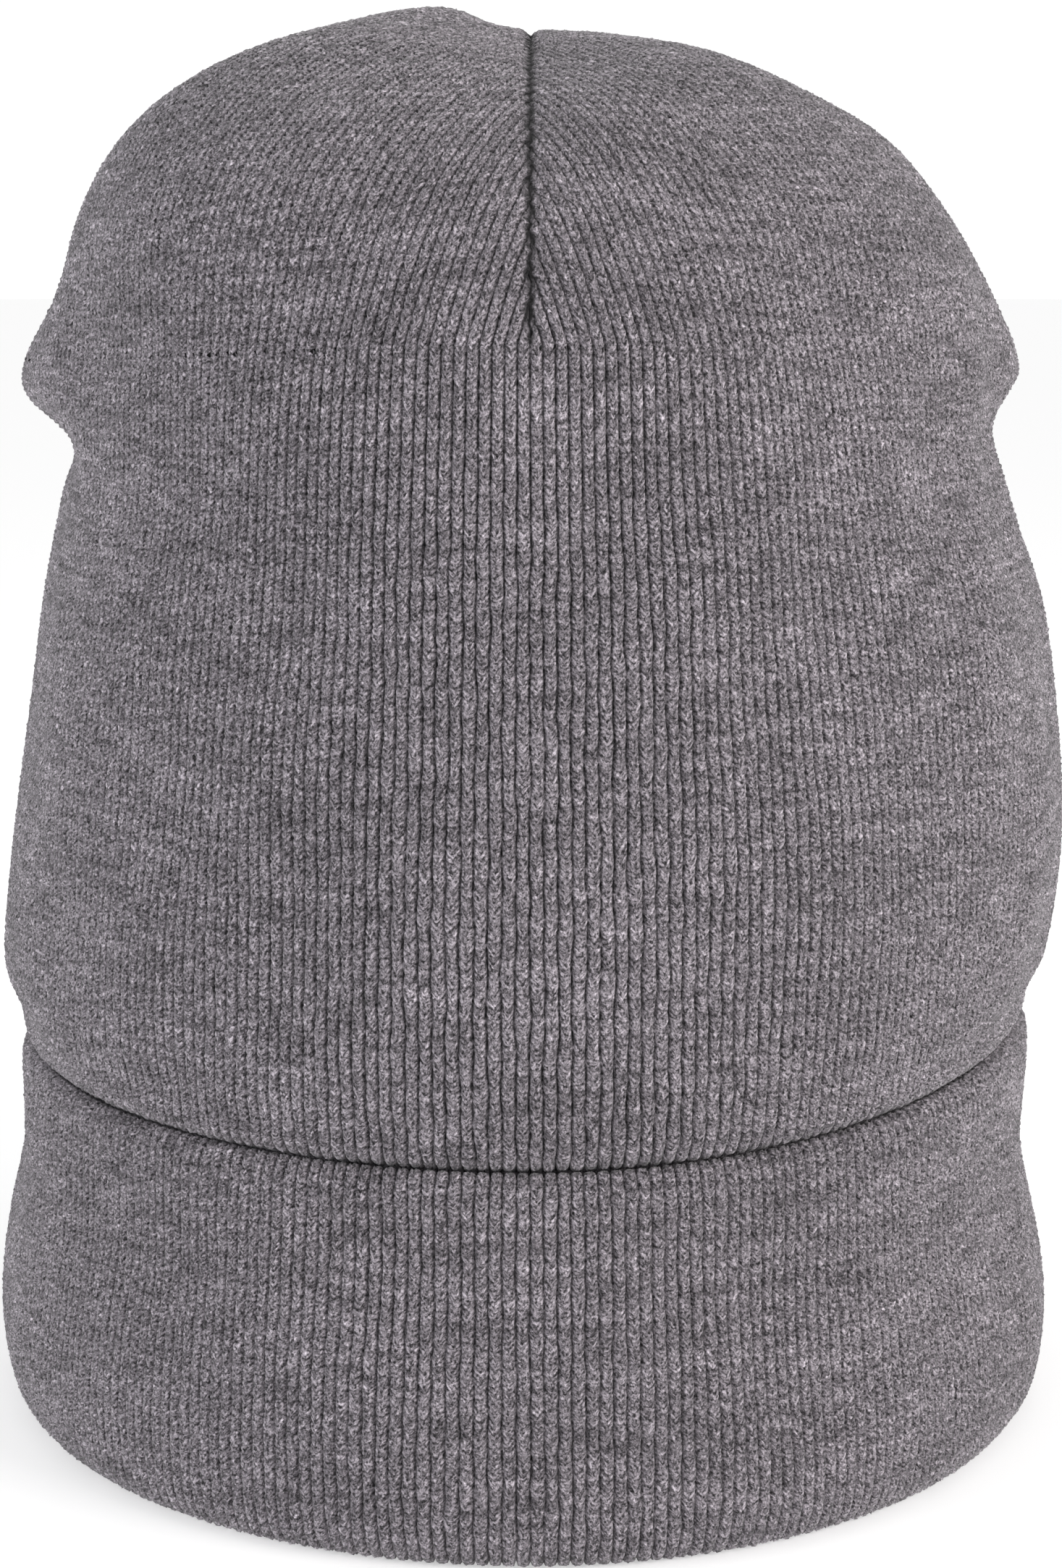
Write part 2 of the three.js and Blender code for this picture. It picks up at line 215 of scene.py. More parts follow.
def base_surface(angle, station, ears):
    cos = np.cos(angle)
    sin = np.sin(angle)
    side = np.where((cos > 0)[..., None], spline(LEFT, station), spline(RIGHT, station))
    end = np.where((sin > 0)[..., None], spline(BACK, station), spline(FRONT, station))
    x = side[..., 0] * cos
    y = end[..., 0] * sin
    z = side[..., 1] * cos**2 + end[..., 1] * sin**2
    if ears:
        size = np.where(cos > 0, ear_at(side[..., 1], "left"), ear_at(side[..., 1], "right"))
        x = x + np.sign(cos) * size * bell(np.arcsin(np.clip(sin, -1, 1)), EAR_REACH) * cos**2
    return np.stack([x, y, z], -1)


def unit(vectors):
    return vectors / np.maximum(np.linalg.norm(vectors, axis=-1, keepdims=True), 1e-12)


def running_length(points):
    """The length along a line of points, at each of them."""
    return np.concatenate([[0], np.cumsum(np.linalg.norm(np.diff(points, axis=0), axis=1))])


def surface_normal(angle, station, ears):
    step = 1e-3
    above = np.minimum(station + step, LAST_STATION - step)
    below = np.minimum(np.maximum(station - step, 0), LAST_STATION - 3 * step)
    around = base_surface(angle + step, below, ears) - base_surface(angle - step, below, ears)
    up = base_surface(angle, above, ears) - base_surface(angle, below, ears)
    return unit(np.cross(around, up))


def crown_relief(angle, station, radius):
    share = smoothstep(station, DART_TIP, DART_TIP + DART_EASE)
    to_seam = np.minimum(np.abs(np.sin(angle)), np.abs(np.cos(angle))) * radius
    drawn = bell(to_seam, DART_VALLEY_WIDTH)
    quarter = np.floor(angle / (math.pi / 2) + 1e-9).astype(int) % 4
    blown = CROWN_PUFF[quarter] * np.sin(2 * angle) ** 2
    return share * (blown * (1 - drawn) - DART_VALLEY * drawn)


def lining_depth(station):
    share = smoothstep(station, LINING_LEAVES, LINING_ARRIVES)
    return LINING_NEAR + (LINING_FAR - LINING_NEAR) * share


def make_waves(seed, count, shortest, longest):
    """Smooth uneven ground: a sum of plane waves with random directions."""
    draw = np.random.default_rng(seed)
    ways = unit(draw.normal(size=(count, 3)))
    lengths = draw.uniform(shortest, longest, count)
    return ways * (2 * math.pi / lengths)[:, None], draw.uniform(0, 2 * math.pi, count)


WAVES = make_waves(seed=11, count=14, shortest=26, longest=75)
CUFF_WAVES = make_waves(seed=23, count=10, shortest=22, longest=60)


def waves(points, ways_and_phases):
    ways, phases = ways_and_phases
    total = np.zeros(points.shape[:-1])
    for way, phase in zip(ways, phases):
        total += np.sin(points @ way + phase)
    return total / math.sqrt(len(phases) / 2)


def cuff_drop(angle):
    cos = np.cos(angle)
    sin = np.sin(angle)
    side = np.where(cos > 0, CUFF_DROP["left"], CUFF_DROP["right"])
    end = np.where(sin > 0, CUFF_DROP["back"], CUFF_DROP["front"])
    return side * cos**2 + end * sin**2


def overhang(angle, height, out):
    """How far the outer layer bulges over the cuff's edge, on top of its profile."""
    above = height - (CUFF_TOP - cuff_drop(angle)) - OVERHANG_START
    wanted = OVERHANG * (1 - np.exp(-np.maximum(above, 0) / OVERHANG_RISE))
    fade = 1 - smoothstep(above, *OVERHANG_FADE)
    missing = wanted - out
    smooth_gap = np.minimum(OVERHANG_BLEND, wanted)
    return (missing + np.sqrt(missing**2 + smooth_gap**2)) / 2 * fade


def layer_surface(angle, station, depth, ears):
    """Points and normals at a depth under the surface. The outer layer is the one with ears."""
    base = base_surface(angle, station, ears)
    normal = surface_normal(angle, station, ears)
    if ears:
        width = np.where(np.cos(angle) > 0, TUBE_LEFT, TUBE_RIGHT)
        tube = np.hypot(width * np.cos(angle), TUBE_DEPTH * np.sin(angle))
        out = np.hypot(base[..., 0], base[..., 1]) - tube
        way = np.stack([np.cos(angle), np.sin(angle), np.zeros_like(angle)], -1)
        base = base + way * overhang(angle, base[..., 2], out)[..., None]
    relief = crown_relief(angle, station, np.hypot(base[..., 0], base[..., 1]))
    relief = relief + WAVE_HEIGHT * waves(base, WAVES) * smoothstep(station, *WAVE_STATIONS)
    return base + normal * (relief - depth)[..., None], normal


# ---- Ribs over the surface ----

STATIONS = np.linspace(0, LAST_STATION, 521)
SHARES = np.linspace(-1, 1, 193)  # across a quarter, from one dart line to the next
ARC_POINTS = 241


def fabric_places(ribs, distance):
    """Places in the knit, in ribs and courses."""
    return np.stack([ribs, distance / COURSE], -1)


def angle_table(quarter):
    """For each station, the angles that divide a quarter into equal lengths, and its whole length."""
    angles = quarter * math.pi / 2 + np.linspace(0, math.pi / 2, ARC_POINTS)
    station, angle = np.meshgrid(STATIONS, angles, indexing="ij")
    steps = np.linalg.norm(np.diff(base_surface(angle, station, False), axis=1), axis=2)
    arc = np.concatenate([np.zeros((len(STATIONS), 1)), np.cumsum(steps, axis=1)], axis=1)
    table = np.empty((len(STATIONS), len(SHARES)))
    for row in range(len(STATIONS) - 1):
        table[row] = np.interp((SHARES + 1) / 2 * arc[row, -1], arc[row], angles)
    table[-1] = table[-2]
    return table, arc[:, -1]


TABLES, WIDTHS = zip(*(angle_table(quarter) for quarter in range(4)))


def look_up(table, station, share):
    """The angle at a station and a share of a quarter."""
    row = np.clip(station / LAST_STATION * (len(STATIONS) - 1), 0, len(STATIONS) - 1.001)
    column = np.clip((share + 1) / 2 * (len(SHARES) - 1), 0, len(SHARES) - 1.0001)
    r = row.astype(int)
    c = column.astype(int)
    down = row - r
    right = column - c
    low = table[r, c] * (1 - right) + table[r, c + 1] * right
    high = table[r + 1, c] * (1 - right) + table[r + 1, c + 1] * right
    return low * (1 - down) + high * down


def climb():
    """Distance over the surface from the level of the dart tips, at each of STATIONS."""
    middles = (np.arange(4) + 0.5) * math.pi / 2
    station, angle = np.meshgrid(STATIONS, middles, indexing="ij")
    steps = np.linalg.norm(np.diff(base_surface(angle, station, False), axis=0), axis=2).mean(axis=1)
    distance = np.concatenate([[0], np.cumsum(steps)])
    return distance - np.interp(DART_TIP, STATIONS, distance)


CLIMB = climb()
CROWN_CLIMB = CLIMB[-1]


def station_at(distance):
    return np.interp(distance, CLIMB, STATIONS)


def quarter_angles(rib, station):
    """The angle of each rib position, in ribs round the head, at its station."""
    rib = np.mod(rib, RIBS)
    quarter = np.minimum((rib // QUARTER_RIBS).astype(int), 3)
    share = (rib - quarter * QUARTER_RIBS) / (QUARTER_RIBS / 2) - 1
    angle = np.empty(np.shape(rib))
    for q in range(4):
        here = quarter == q
        angle[here] = look_up(TABLES[q], station[here], share[here])
    return angle


def rib_columns(columns_in_rib, ribs):
    """The number of each column of a grid, its place in ribs, and how far up a stitch's leg it is."""
    per_rib = len(columns_in_rib)
    column = np.arange(ribs * per_rib + 1)
    within = columns_in_rib[column % per_rib]
    return column, column // per_rib + within, np.abs(2 * within - 1)


def rib_depth(distance):
    """The grooves are shallower in the crown."""
    return RIB_DEPTH + (CROWN_RIB_DEPTH - RIB_DEPTH) * smoothstep(distance, *CROWN_RIBS_FROM)


draw = np.random.default_rng(5)
STITCH_NOISE = draw.normal(size=(512, RIBS * 2))
FLUFF = draw.normal(size=(509, RIBS * 6))
RIB_NOISE = draw.normal(size=RIBS)
WANDER_PHASES = draw.uniform(0, 2 * math.pi, size=(3, RIBS))
WANDER_LENGTHS = (1.3, 2.6, 5.5)  # in millimetres for each radian


def stitch_relief(rows, columns, profile, distance):
    """How far each vertex lies under the surface: grooves between ribs, and a crest per stitch."""
    columns = columns % (RIBS * len(profile))
    grid_profile = profile[columns % len(profile)]
    rib = columns // len(profile)
    leg = 2 * columns // len(profile)
    random = STITCH_NOISE[(rows // 2) % len(STITCH_NOISE), leg]
    uneven = np.clip(1 + UNEVEN_RIB * RIB_NOISE[rib] + UNEVEN_STITCH * random, 0.4, 1.6)
    groove = -rib_depth(distance) * (1 - grid_profile) * uneven
    crest = np.where(rows % 2 == 0, 1.0, -1.0)
    fluff = FLUFF[rows % len(FLUFF), columns]
    height = STITCH_DEPTH * np.minimum(grid_profile + CREST_IN_GROOVE, 1)
    stitch = height * crest * (1 + UNEVEN_CREST * random)
    return groove + stitch + FLUFF_HEIGHT * fluff * grid_profile


def wobble(rib, distance, fade):
    """How far the knit wanders sideways at a place: each groove has its own way, in ribs."""
    whole = np.floor(rib + 1e-9)
    total = sum(SWAY * np.sin(rib * turn + distance / length) for turn, length in SWAYS)
    for phases, length in zip(WANDER_PHASES, WANDER_LENGTHS):
        left = np.sin(distance / length + phases[whole.astype(int) % RIBS])
        right = np.sin(distance / length + phases[(whole.astype(int) + 1) % RIBS])
        total = total + left + (right - left) * (rib - whole)
    return WOBBLE * fade * total


# ---- Closed solids of knit ----

FACE_BAND = (0.0, 0.86)  # where the parts of a solid lie in its bake map
BACK_BAND = (0.885, 0.945)
RIM_BAND = (0.97, 0.995)
SAME_SPOT = 0.001  # border vertices closer than this are one


def grid_quads(rows, columns):
    """The quads of a grid, turning anticlockwise with columns to the right and rows up."""
    index = np.arange(rows * columns).reshape(rows, columns)
    corners = [index[:-1, :-1], index[:-1, 1:], index[1:, 1:], index[1:, :-1]]
    return np.stack(corners, -1).reshape(-1, 4)


def grid_loop(across, up):
    """The border of a grid, anticlockwise, with a place from 0 to 4 for each vertex."""
    rows = len(up)
    columns = len(across)
    index = np.arange(rows * columns).reshape(rows, columns)
    loop = np.concatenate([index[0, :-1], index[:-1, -1], index[-1, :0:-1], index[:0:-1, 0]])
    place = np.concatenate([across[:-1], 1 + up[:-1], 3 - across[:0:-1], 4 - up[:0:-1]])
    return loop, place


def grid_part(points, across, up, fabric):
    """A grid of points as a side of a solid. across and up place its columns and rows, 0 to 1.

    fabric says where each point lies in the knit, in ribs and courses, and bake where it lies in
    the bake map, from 0 to 1 both ways.
    """
    rows, columns = points.shape[:2]
    loop, place = grid_loop(across, up)
    return {
        "points": points.reshape(-1, 3), "quads": grid_quads(rows, columns),
        "triangles": np.zeros((0, 3), int), "loop": loop, "place": place,
        "fabric": fabric.reshape(-1, 2), "bake": np.stack(np.meshgrid(across, up), -1).reshape(-1, 2),
        "crease": np.zeros(rows * columns),
    }


def zip_loops(face_loop, face_place, back_loop, back_place, turns):
    """Triangles between two loops that run side by side, and the places of their corners."""
    a = np.append(face_loop, face_loop[0])
    b = np.append(back_loop, back_loop[0])
    a_place = np.append(face_place, turns)
    b_place = np.append(back_place, turns)
    b_now = np.searchsorted(b_place[1:], a_place[1:], side="left")
    a_now = np.searchsorted(a_place[1:], b_place[1:], side="right")
    i = np.arange(len(a) - 1)
    j = np.arange(len(b) - 1)
    first = np.stack([a[i + 1], a[i], b[b_now]], -1)
    second = np.stack([b[j], b[j + 1], a[a_now]], -1)
    low, high = RIM_BAND
    u_first = np.stack([a_place[i + 1], a_place[i], b_place[b_now]], -1) / turns
    u_second = np.stack([b_place[j], b_place[j + 1], a_place[a_now]], -1) / turns
    v_first = np.broadcast_to([low, low, high], u_first.shape)
    v_second = np.broadcast_to([high, high, low], u_second.shape)
    triangles = np.concatenate([first, second])
    u = np.concatenate([u_first, u_second])
    v = np.concatenate([v_first, v_second])
    return triangles, np.stack([u, v], -1)


def vertex_normals(points, faces):
    """Face normals added up at each vertex, not yet of unit length."""
    total = np.zeros_like(points)
    for polygons in faces:
        if not len(polygons):
            continue
        a, b, c = (points[polygons[:, k]] for k in range(3))
        last = points[polygons[:, -1]]
        normal = np.cross(c - a, last - b) if polygons.shape[1] == 4 else np.cross(b - a, c - a)
        for corner in polygons.T:
            for axis in range(3):
                total[:, axis] += np.bincount(corner, normal[:, axis], len(points))
    return total


def knit_piece(name, replaced, face, back, turns, flip, material):
    """One closed solid from a fine face and a plain back, with a rim between their borders."""
    count = len(face["points"])
    points = np.concatenate([face["points"], back["points"]])
    back_quads = back["quads"][:, ::-1] + count
    rim, rim_bake = zip_loops(face["loop"], face["place"], back["loop"] + count, back["place"], turns)
    bands = []
    for part, (low, high) in ((face, FACE_BAND), (back, BACK_BAND)):
        bands.append(part["bake"] * [1, high - low] + [0, low])
    bake = np.concatenate(bands)
    polygons = [face["quads"], back_quads, face["triangles"]]
    bakes = [bake[corners] for corners in polygons] + [rim_bake]
    polygons.append(rim)
    normals = vertex_normals(points, [face["quads"], face["triangles"]])
    normals[count:] = vertex_normals(points, [back_quads])[count:]
    if flip:
        polygons = [p[:, ::-1] for p in polygons]
        bakes = [b[:, ::-1] for b in bakes]
        normals = -normals
    return {
        "name": name, "replaces": replaced, "points": points, "polygons": polygons, "bakes": bakes,
        "fabric": np.concatenate([face["fabric"], back["fabric"]]), "normals": normals,
        "border": face["loop"], "crease": np.concatenate([face["crease"], back["crease"]]),
        "material": material, "slot": material["slot"],
    }


def join_normals(pieces):
    """Where borders of pieces meet, they share one normal, so that no join shows."""
    spots = np.concatenate([p["points"][p["border"]] for p in pieces])
    sums = np.concatenate([p["normals"][p["border"]] for p in pieces])
    keys = np.round(spots / SAME_SPOT).astype(np.int64)
    _, same = np.unique(keys, axis=0, return_inverse=True)
    same = same.ravel()
    total = np.stack([np.bincount(same, sums[:, axis]) for axis in range(3)], -1)[same]
    start = 0
    for piece in pieces:
        end = start + len(piece["border"])
        piece["normals"][piece["border"]] = total[start:end]
        start = end


def link_object(name, data):
    obj = bpy.data.objects.new(name, data)
    bpy.context.scene.collection.objects.link(obj)
    return obj


def make_object(piece):
    """The Blender object of a piece. Its points go from millimetres round the old axis to the frame."""
    mesh = bpy.data.meshes.new(piece["name"])
    points = piece["points"] * MM + AXIS
    sizes = np.concatenate([np.full(len(p), p.shape[1]) for p in piece["polygons"] if len(p)])
    corners = np.concatenate([p.ravel() for p in piece["polygons"] if len(p)])
    bake = np.concatenate([b.reshape(-1, 2) for b in piece["bakes"] if len(b)])
    mesh.vertices.add(len(points))
    mesh.vertices.foreach_set("co", points.astype(np.float32).ravel())
    mesh.loops.add(len(corners))
    mesh.loops.foreach_set("vertex_index", corners.astype(np.int32))
    mesh.polygons.add(len(sizes))
    starts = np.concatenate([[0], np.cumsum(sizes)[:-1]])
    mesh.polygons.foreach_set("loop_start", starts.astype(np.int32))
    for layer, values in (("fabric", piece["fabric"][corners]), ("OFBake", bake)):
        mesh.uv_layers.new(name=layer).data.foreach_set("uv", values.astype(np.float32).ravel())
    # The mask of painted crease shade goes to the material as a point attribute.
    crease = mesh.attributes.new("crease", "FLOAT", "POINT")
    crease.data.foreach_set("value", piece["crease"].astype(np.float32))
    mesh.update(calc_edges=True)
    mesh.validate()
    mesh.normals_split_custom_set_from_vertices(unit(piece["normals"]).astype(np.float32))
    mesh.materials.append(piece["material"])
    return link_object(piece["name"], mesh)


# ---- Body panels ----

HIDDEN_STATION = 1.5  # under this the outer layer is inside the cuff, so it needs no stitches
HIDDEN_ROWS = 10
HIDDEN_GAP = 2
BACK_INSET = 0.1  # a back stays this much inside its borders, in ribs and in millimetres
BODY_BACK_ROWS = 40
HALF_QUARTER = QUARTER_RIBS // 2
WANDER_FADE = (4, 30)  # the grooves wander between these distances below the dart tips
GRID_NORMALS = (20, 40)  # lower than this, normals come from the grid


def grid_normals(point):
    """The ways out of a grid of points that closes on itself from its last column to its first."""
    across = np.roll(point[:, :-1], -1, axis=1) - np.roll(point[:, :-1], 1, axis=1)
    across = np.concatenate([across, across[:, :1]], axis=1)
    return unit(np.cross(across, np.gradient(point, axis=0)))


def body_grid(columns_in_rib, profile, distance, number, climb, depth_at, ears, inward):
    """All round the head, from the brim to the dart tips: points, and places in the fabric."""
    column, rib, slope = rib_columns(columns_in_rib, RIBS)
    distance = distance[:, None] + climb * slope[None, :]
    ribs = np.broadcast_to(rib, distance.shape)
    station = station_at(distance)
    place = ribs + wobble(ribs, distance, smoothstep(-distance, *WANDER_FADE))
    point, normal = layer_surface(quarter_angles(place, station), station, depth_at(station), ears)
    numbers = np.broadcast_to(number[:, None], distance.shape)
    columns = np.broadcast_to(column, distance.shape)
    relief = stitch_relief(numbers, columns, profile, distance)
    if ears:
        level = smoothstep(-distance, *GRID_NORMALS)[..., None]
        normal = unit(grid_normals(point) * level + normal * (1 - level))
    point = point + normal * (relief * (-1 if inward else 1))[..., None]
    point[:, -1] = point[:, 0]
    return point, fabric_places(ribs, distance)


def inset(start, end, share):
    """Places from start to end, a little inside both."""
    return start + BACK_INSET + (end - start - 2 * BACK_INSET) * share


def back_grid(first_rib, last_rib, low, high, columns, rows, depth_at, ears):
    """A plain grid between two ribs and two distances."""
    across = np.linspace(0, 1, columns)
    up = np.linspace(0, 1, rows)
    ribs, distances = np.meshgrid(inset(first_rib, last_rib, across), inset(low, high, up))
    station = station_at(distances)
    point, _ = layer_surface(quarter_angles(ribs, station), station, depth_at(station), ears)
    return grid_part(point, across, up, fabric_places(ribs, distances))


def cut_panel(points, fabric, first, last):
    """Columns first to last of a grid, as the face of a solid."""
    fabric = fabric[:, first:last + 1]
    across = fabric[0, :, 0] - fabric[0, 0, 0]
    level = fabric[:, 0, 1]
    up = (level - level[0]) / (level[-1] - level[0])
    return grid_part(points[:, first:last + 1], across / across[-1], up, fabric)


def half_quarters():
    """The first and last rib of each half quarter, and the names of its quarter and of itself."""
    for start in range(0, RIBS, HALF_QUARTER):
        quarter = QUARTERS[start // QUARTER_RIBS]
        half = "a" if start % QUARTER_RIBS == 0 else "b"
        yield start, start + HALF_QUARTER, quarter, f"{quarter}_{half}"


def outer_back_depth(station):
    return np.full_like(station, KNIT)


def outer_body(material):
    low = np.interp(0, STATIONS, CLIMB)
    count = int(-np.interp(HIDDEN_STATION, STATIONS, CLIMB) / HALF_COURSE)
    seen = np.arange(-count, 1)
    hidden = np.linspace(low, -count * HALF_COURSE - HIDDEN_GAP, HIDDEN_ROWS)
    distance = np.concatenate([hidden, seen * HALF_COURSE])
    number = np.concatenate([np.zeros(HIDDEN_ROWS, int), seen])
    points, fabric = body_grid(RIB_COLUMNS, RIB_PROFILE, distance, number, STITCH_CLIMB,
                               np.zeros_like, True, False)
    per_rib = len(RIB_COLUMNS)
    pieces = []
    for first, last, quarter, name in half_quarters():
        face = cut_panel(points, fabric, first * per_rib, last * per_rib)
        back = back_grid(first, last, low, 0, 2 * HALF_QUARTER + 1, BODY_BACK_ROWS, outer_back_depth,
                         True)
        pieces.append(knit_piece(f"knit_body_{name}", f"outer_body_{quarter}", face, back, 4, False,
                                 material))
    return pieces


# ---- Crown quarters ----

SEAM_START = STITCH_CLIMB  # a dart starts at the groove's end of the first row
STRAIGHT_CUT = 0.42  # how much of the ribs' loss along a dart is a straight cut
COURSE_RISE = 0.2  # the courses rise towards the seams
CREASE_DEPTH = 1.0
CREASE_WIDTH = 1.0
SEAM_SINK = 0.25  # the cut edges lie this deep in the seam
SEAM_SIDES = (0.05, 1.1)  # the stitches grow to full height between these distances from it
TEETH = 0.38  # how much of a crease's painted shade follows the ribs that end in it
JAG = 0.4  # a seam swings from side to side by this much
JAG_LENGTHS = (0.37, 0.23, 1.1)  # in millimetres for each radian
JAG_WIDTH = 1.7
LAST_STITCH = 0.12  # a column's last stitch ends at least this far before the seam
WANDER_CLIMB = (0, 14)  # the ribs start to wander between these distances from the tips
WANDER_WIDTH = (2, 20)  # and stop where fewer ribs are left
CROWN_BACK_ROWS = 24
BACK_SHARE = 0.985  # a crown's back stops short of the seams, of the tips and of the top
BACK_START = 0.2
BACK_TOP_GAP = 1.2
BACK_TOP_TURN = 0.004  # the back's short top edge, in the loop of three turns


def crown_width(quarter, climbed):
    """Width of the knit between two darts, in ribs, at a distance above their tips."""
    straight = 1 - climbed / CROWN_CLIMB
    length = np.interp(climbed, CLIMB, WIDTHS[quarter])
    tip_length = np.interp(0, CLIMB, WIDTHS[quarter])
    share = STRAIGHT_CUT * straight + (1 - STRAIGHT_CUT) * length / tip_length
    return QUARTER_RIBS * np.minimum(share, 1)


def crown_surface(quarter, offset, distance, depth_at, ears):
    """Points of a quarter of the crown, from ribs off its middle line and distance from the tips."""
    climbed = np.clip(distance - SEAM_START, 0, CROWN_CLIMB)
    width = np.maximum(crown_width(quarter, climbed), 1e-6)
    share = np.clip(2 * offset / width, -1, 1)
    rib = offset + QUARTER_RIBS * (quarter + 0.5)
    fade = smoothstep(climbed, *WANDER_CLIMB) * (1 - share**8) * smoothstep(width, *WANDER_WIDTH)
    share = np.clip(share + 2 * wobble(rib, distance, fade) / width, -1, 1)
    rise = COURSE_RISE * climbed * (1 - climbed / CROWN_CLIMB) * share**2
    station = station_at(distance + rise)
    angle = look_up(TABLES[quarter], station, share)
    point, normal = layer_surface(angle, station, depth_at(station), ears)
    to_seam = (1 - np.abs(share)) * np.interp(station, STATIONS, WIDTHS[quarter]) / 2
    level = distance + rise
    swing = sum(np.sin(level / length) for length in JAG_LENGTHS) / len(JAG_LENGTHS)
    swing = swing * smoothstep(level, SEAM_START, 5) * smoothstep(CROWN_CLIMB - level, 2, 8)
    around = np.stack([-np.sin(angle), np.cos(angle), np.zeros_like(angle)], -1)
    point = point + around * (JAG * swing * bell(to_seam, JAG_WIDTH))[..., None]
    return point, normal, to_seam


def crown_face(quarter, columns_in_rib, profile, row_step, depth_at, ears, inward, crease_depth):
    """The fine face of a quarter. Its columns are ribs, and each ends where a dart cuts it."""
    column, rib, slope = rib_columns(columns_in_rib, QUARTER_RIBS)
    count = len(column)
    offset = rib - QUARTER_RIBS / 2
    climbs = np.linspace(0, CROWN_CLIMB, 400)
    widths = crown_width(quarter, climbs) / 2
    ends = np.minimum(SEAM_START + np.interp(-np.abs(offset), -widths, climbs), CROWN_CLIMB)
    distances = []
    numbers = []
    for end, first in zip(ends, STITCH_CLIMB * slope):
        rows = max(int(math.ceil((end - LAST_STITCH - first) / row_step)), 0)
        distances.append(np.append(first + row_step * np.arange(rows), end))
        numbers.append(np.append(np.arange(rows), -1))
    sizes = np.array([len(d) for d in distances])
    starts = np.concatenate([[0], np.cumsum(sizes)[:-1]])
    distance = np.concatenate(distances)
    number = np.concatenate(numbers)
    columns = np.repeat(column, sizes) + quarter * (count - 1)
    offsets = np.repeat(offset, sizes)
    point, normal, to_seam = crown_surface(quarter, offsets, distance, depth_at, ears)
    knit = stitch_relief(np.maximum(number, 0), columns, profile, distance)
    near = smoothstep(to_seam, *SEAM_SIDES)
    relief = np.where(number < 0, 0, knit) * near - SEAM_SINK * (1 - near)
    tip_row = (number == 0) | (distance <= SEAM_START + 1e-6)
    close = np.exp(-to_seam / CREASE_WIDTH)
    sunk = close * smoothstep(distance, SEAM_START, SEAM_START + 1.5)
    relief = np.where(tip_row, knit, relief) - crease_depth * sunk
    point = point + normal * (relief * (-1 if inward else 1))[:, None]
    # Painted shade along the dart crease: a mask that darkens the colour, stronger where a groove ends
    # in it.
    teeth = 1 - TEETH + TEETH * np.abs(2 * (offsets % 1) - 1) ** 1.5
    crease = close * teeth * smoothstep(distance, SEAM_START - 0.7, SEAM_START + 0.2)
    quads, triangles = crown_faces(starts, sizes)
    middle = count // 2
    seam = starts + sizes - 1
    loop = np.concatenate([starts, seam[-2:middle:-1], seam[middle:0:-1]])
    place = np.concatenate([
        column / (count - 1), 1 + ends[-2:middle:-1] / CROWN_CLIMB,
        3 - ends[middle:0:-1] / CROWN_CLIMB,
    ])
    fabric = fabric_places(offsets + QUARTER_RIBS * (quarter + 0.5), distance)
    bake = np.stack([offsets / QUARTER_RIBS + 0.5, distance / (CROWN_CLIMB + 1)], -1)
    return {
        "points": point, "quads": quads, "triangles": triangles, "loop": loop, "place": place,
        "fabric": fabric, "bake": bake, "crease": crease,
    }


def crown_faces(starts, sizes):
    """Faces between neighbouring columns that end at different heights, at a dart."""
    quads = []
    triangles = []
    for i in range(len(starts) - 1):
        a, b = starts[i], starts[i + 1]
        a_rows, b_rows = sizes[i] - 1, sizes[i + 1] - 1
        a_seam, b_seam = a + a_rows, b + b_rows
        both = min(a_rows, b_rows)
        k = np.arange(max(both - 1, 0))
        quads.append(np.stack([a + k, b + k, b + k + 1, a + k + 1], -1))
        if a_rows > b_rows:
            k = np.arange(max(b_rows - 1, 0), a_rows)
            triangles.append(np.stack([a + k, np.full_like(k, b_seam), a + k + 1], -1))
            if b_rows:
                triangles.append([[a + b_rows - 1, b + b_rows - 1, b_seam]])
        elif b_rows > a_rows:
            k = np.arange(max(a_rows - 1, 0), b_rows)
            triangles.append(np.stack([b + k, b + k + 1, np.full_like(k, a_seam)], -1))
            if a_rows:
                triangles.append([[a + a_rows - 1, b + a_rows - 1, a_seam]])
        elif a_rows:
            quads.append([[a + a_rows - 1, b + b_rows - 1, b_seam, a_seam]])
    return np.concatenate(quads), np.concatenate(triangles)


def crown_back(quarter, depth_at, ears):
    """The plain back of a quarter. Its loop has three turns: the level edge and two seams."""
    columns = 2 * QUARTER_RIBS + 1
    up = np.linspace(0, 1, CROWN_BACK_ROWS)
    distance = BACK_START + (CROWN_CLIMB - BACK_TOP_GAP) * up
    shares, distances = np.meshgrid(np.linspace(-1, 1, columns) * BACK_SHARE, distance)
    offsets = shares * crown_width(quarter, np.maximum(distances - SEAM_START, 0)) / 2
    point, _, _ = crown_surface(quarter, offsets, distances, depth_at, ears)
    fabric = fabric_places(offsets + QUARTER_RIBS * (quarter + 0.5), distances)
    part = grid_part(point, np.linspace(0, 1, columns), up, fabric)
    turns = [0, 1, 2, 3, 4]
    part["place"] = np.interp(part["place"], turns, [0, 1, 2 - BACK_TOP_TURN, 2 + BACK_TOP_TURN, 3])
    return part


def crown(columns_in_rib, profile, row_step, face_depth, back_depth, outer, crease_depth, material):
    """Four quarters of a crown. The lining's fine face is inside, on the head's side."""
    pieces = []
    for quarter, name in enumerate(QUARTERS):
        face = crown_face(quarter, columns_in_rib, profile, row_step, face_depth, outer, not outer,
                          crease_depth)
        back = crown_back(quarter, back_depth, outer)
        title = f"knit_crown_{name}" if outer else f"knit_lining_crown_{name}"
        replaced = f"outer_crown_{name}" if outer else f"lining_crown_{name}"
        pieces.append(knit_piece(title, replaced, face, back, 3, not outer, material))
    return pieces


def outer_crown(material):
    return crown(RIB_COLUMNS, RIB_PROFILE, HALF_COURSE, np.zeros_like, outer_back_depth, True,
                 CREASE_DEPTH, material)


# ---- Lining ----

LINING_BACK_ROWS = 16
LINING_CROWN_ROW = PLAIN_ROW * 0.75


def lining_face_depth(station):
    return lining_depth(station) + KNIT


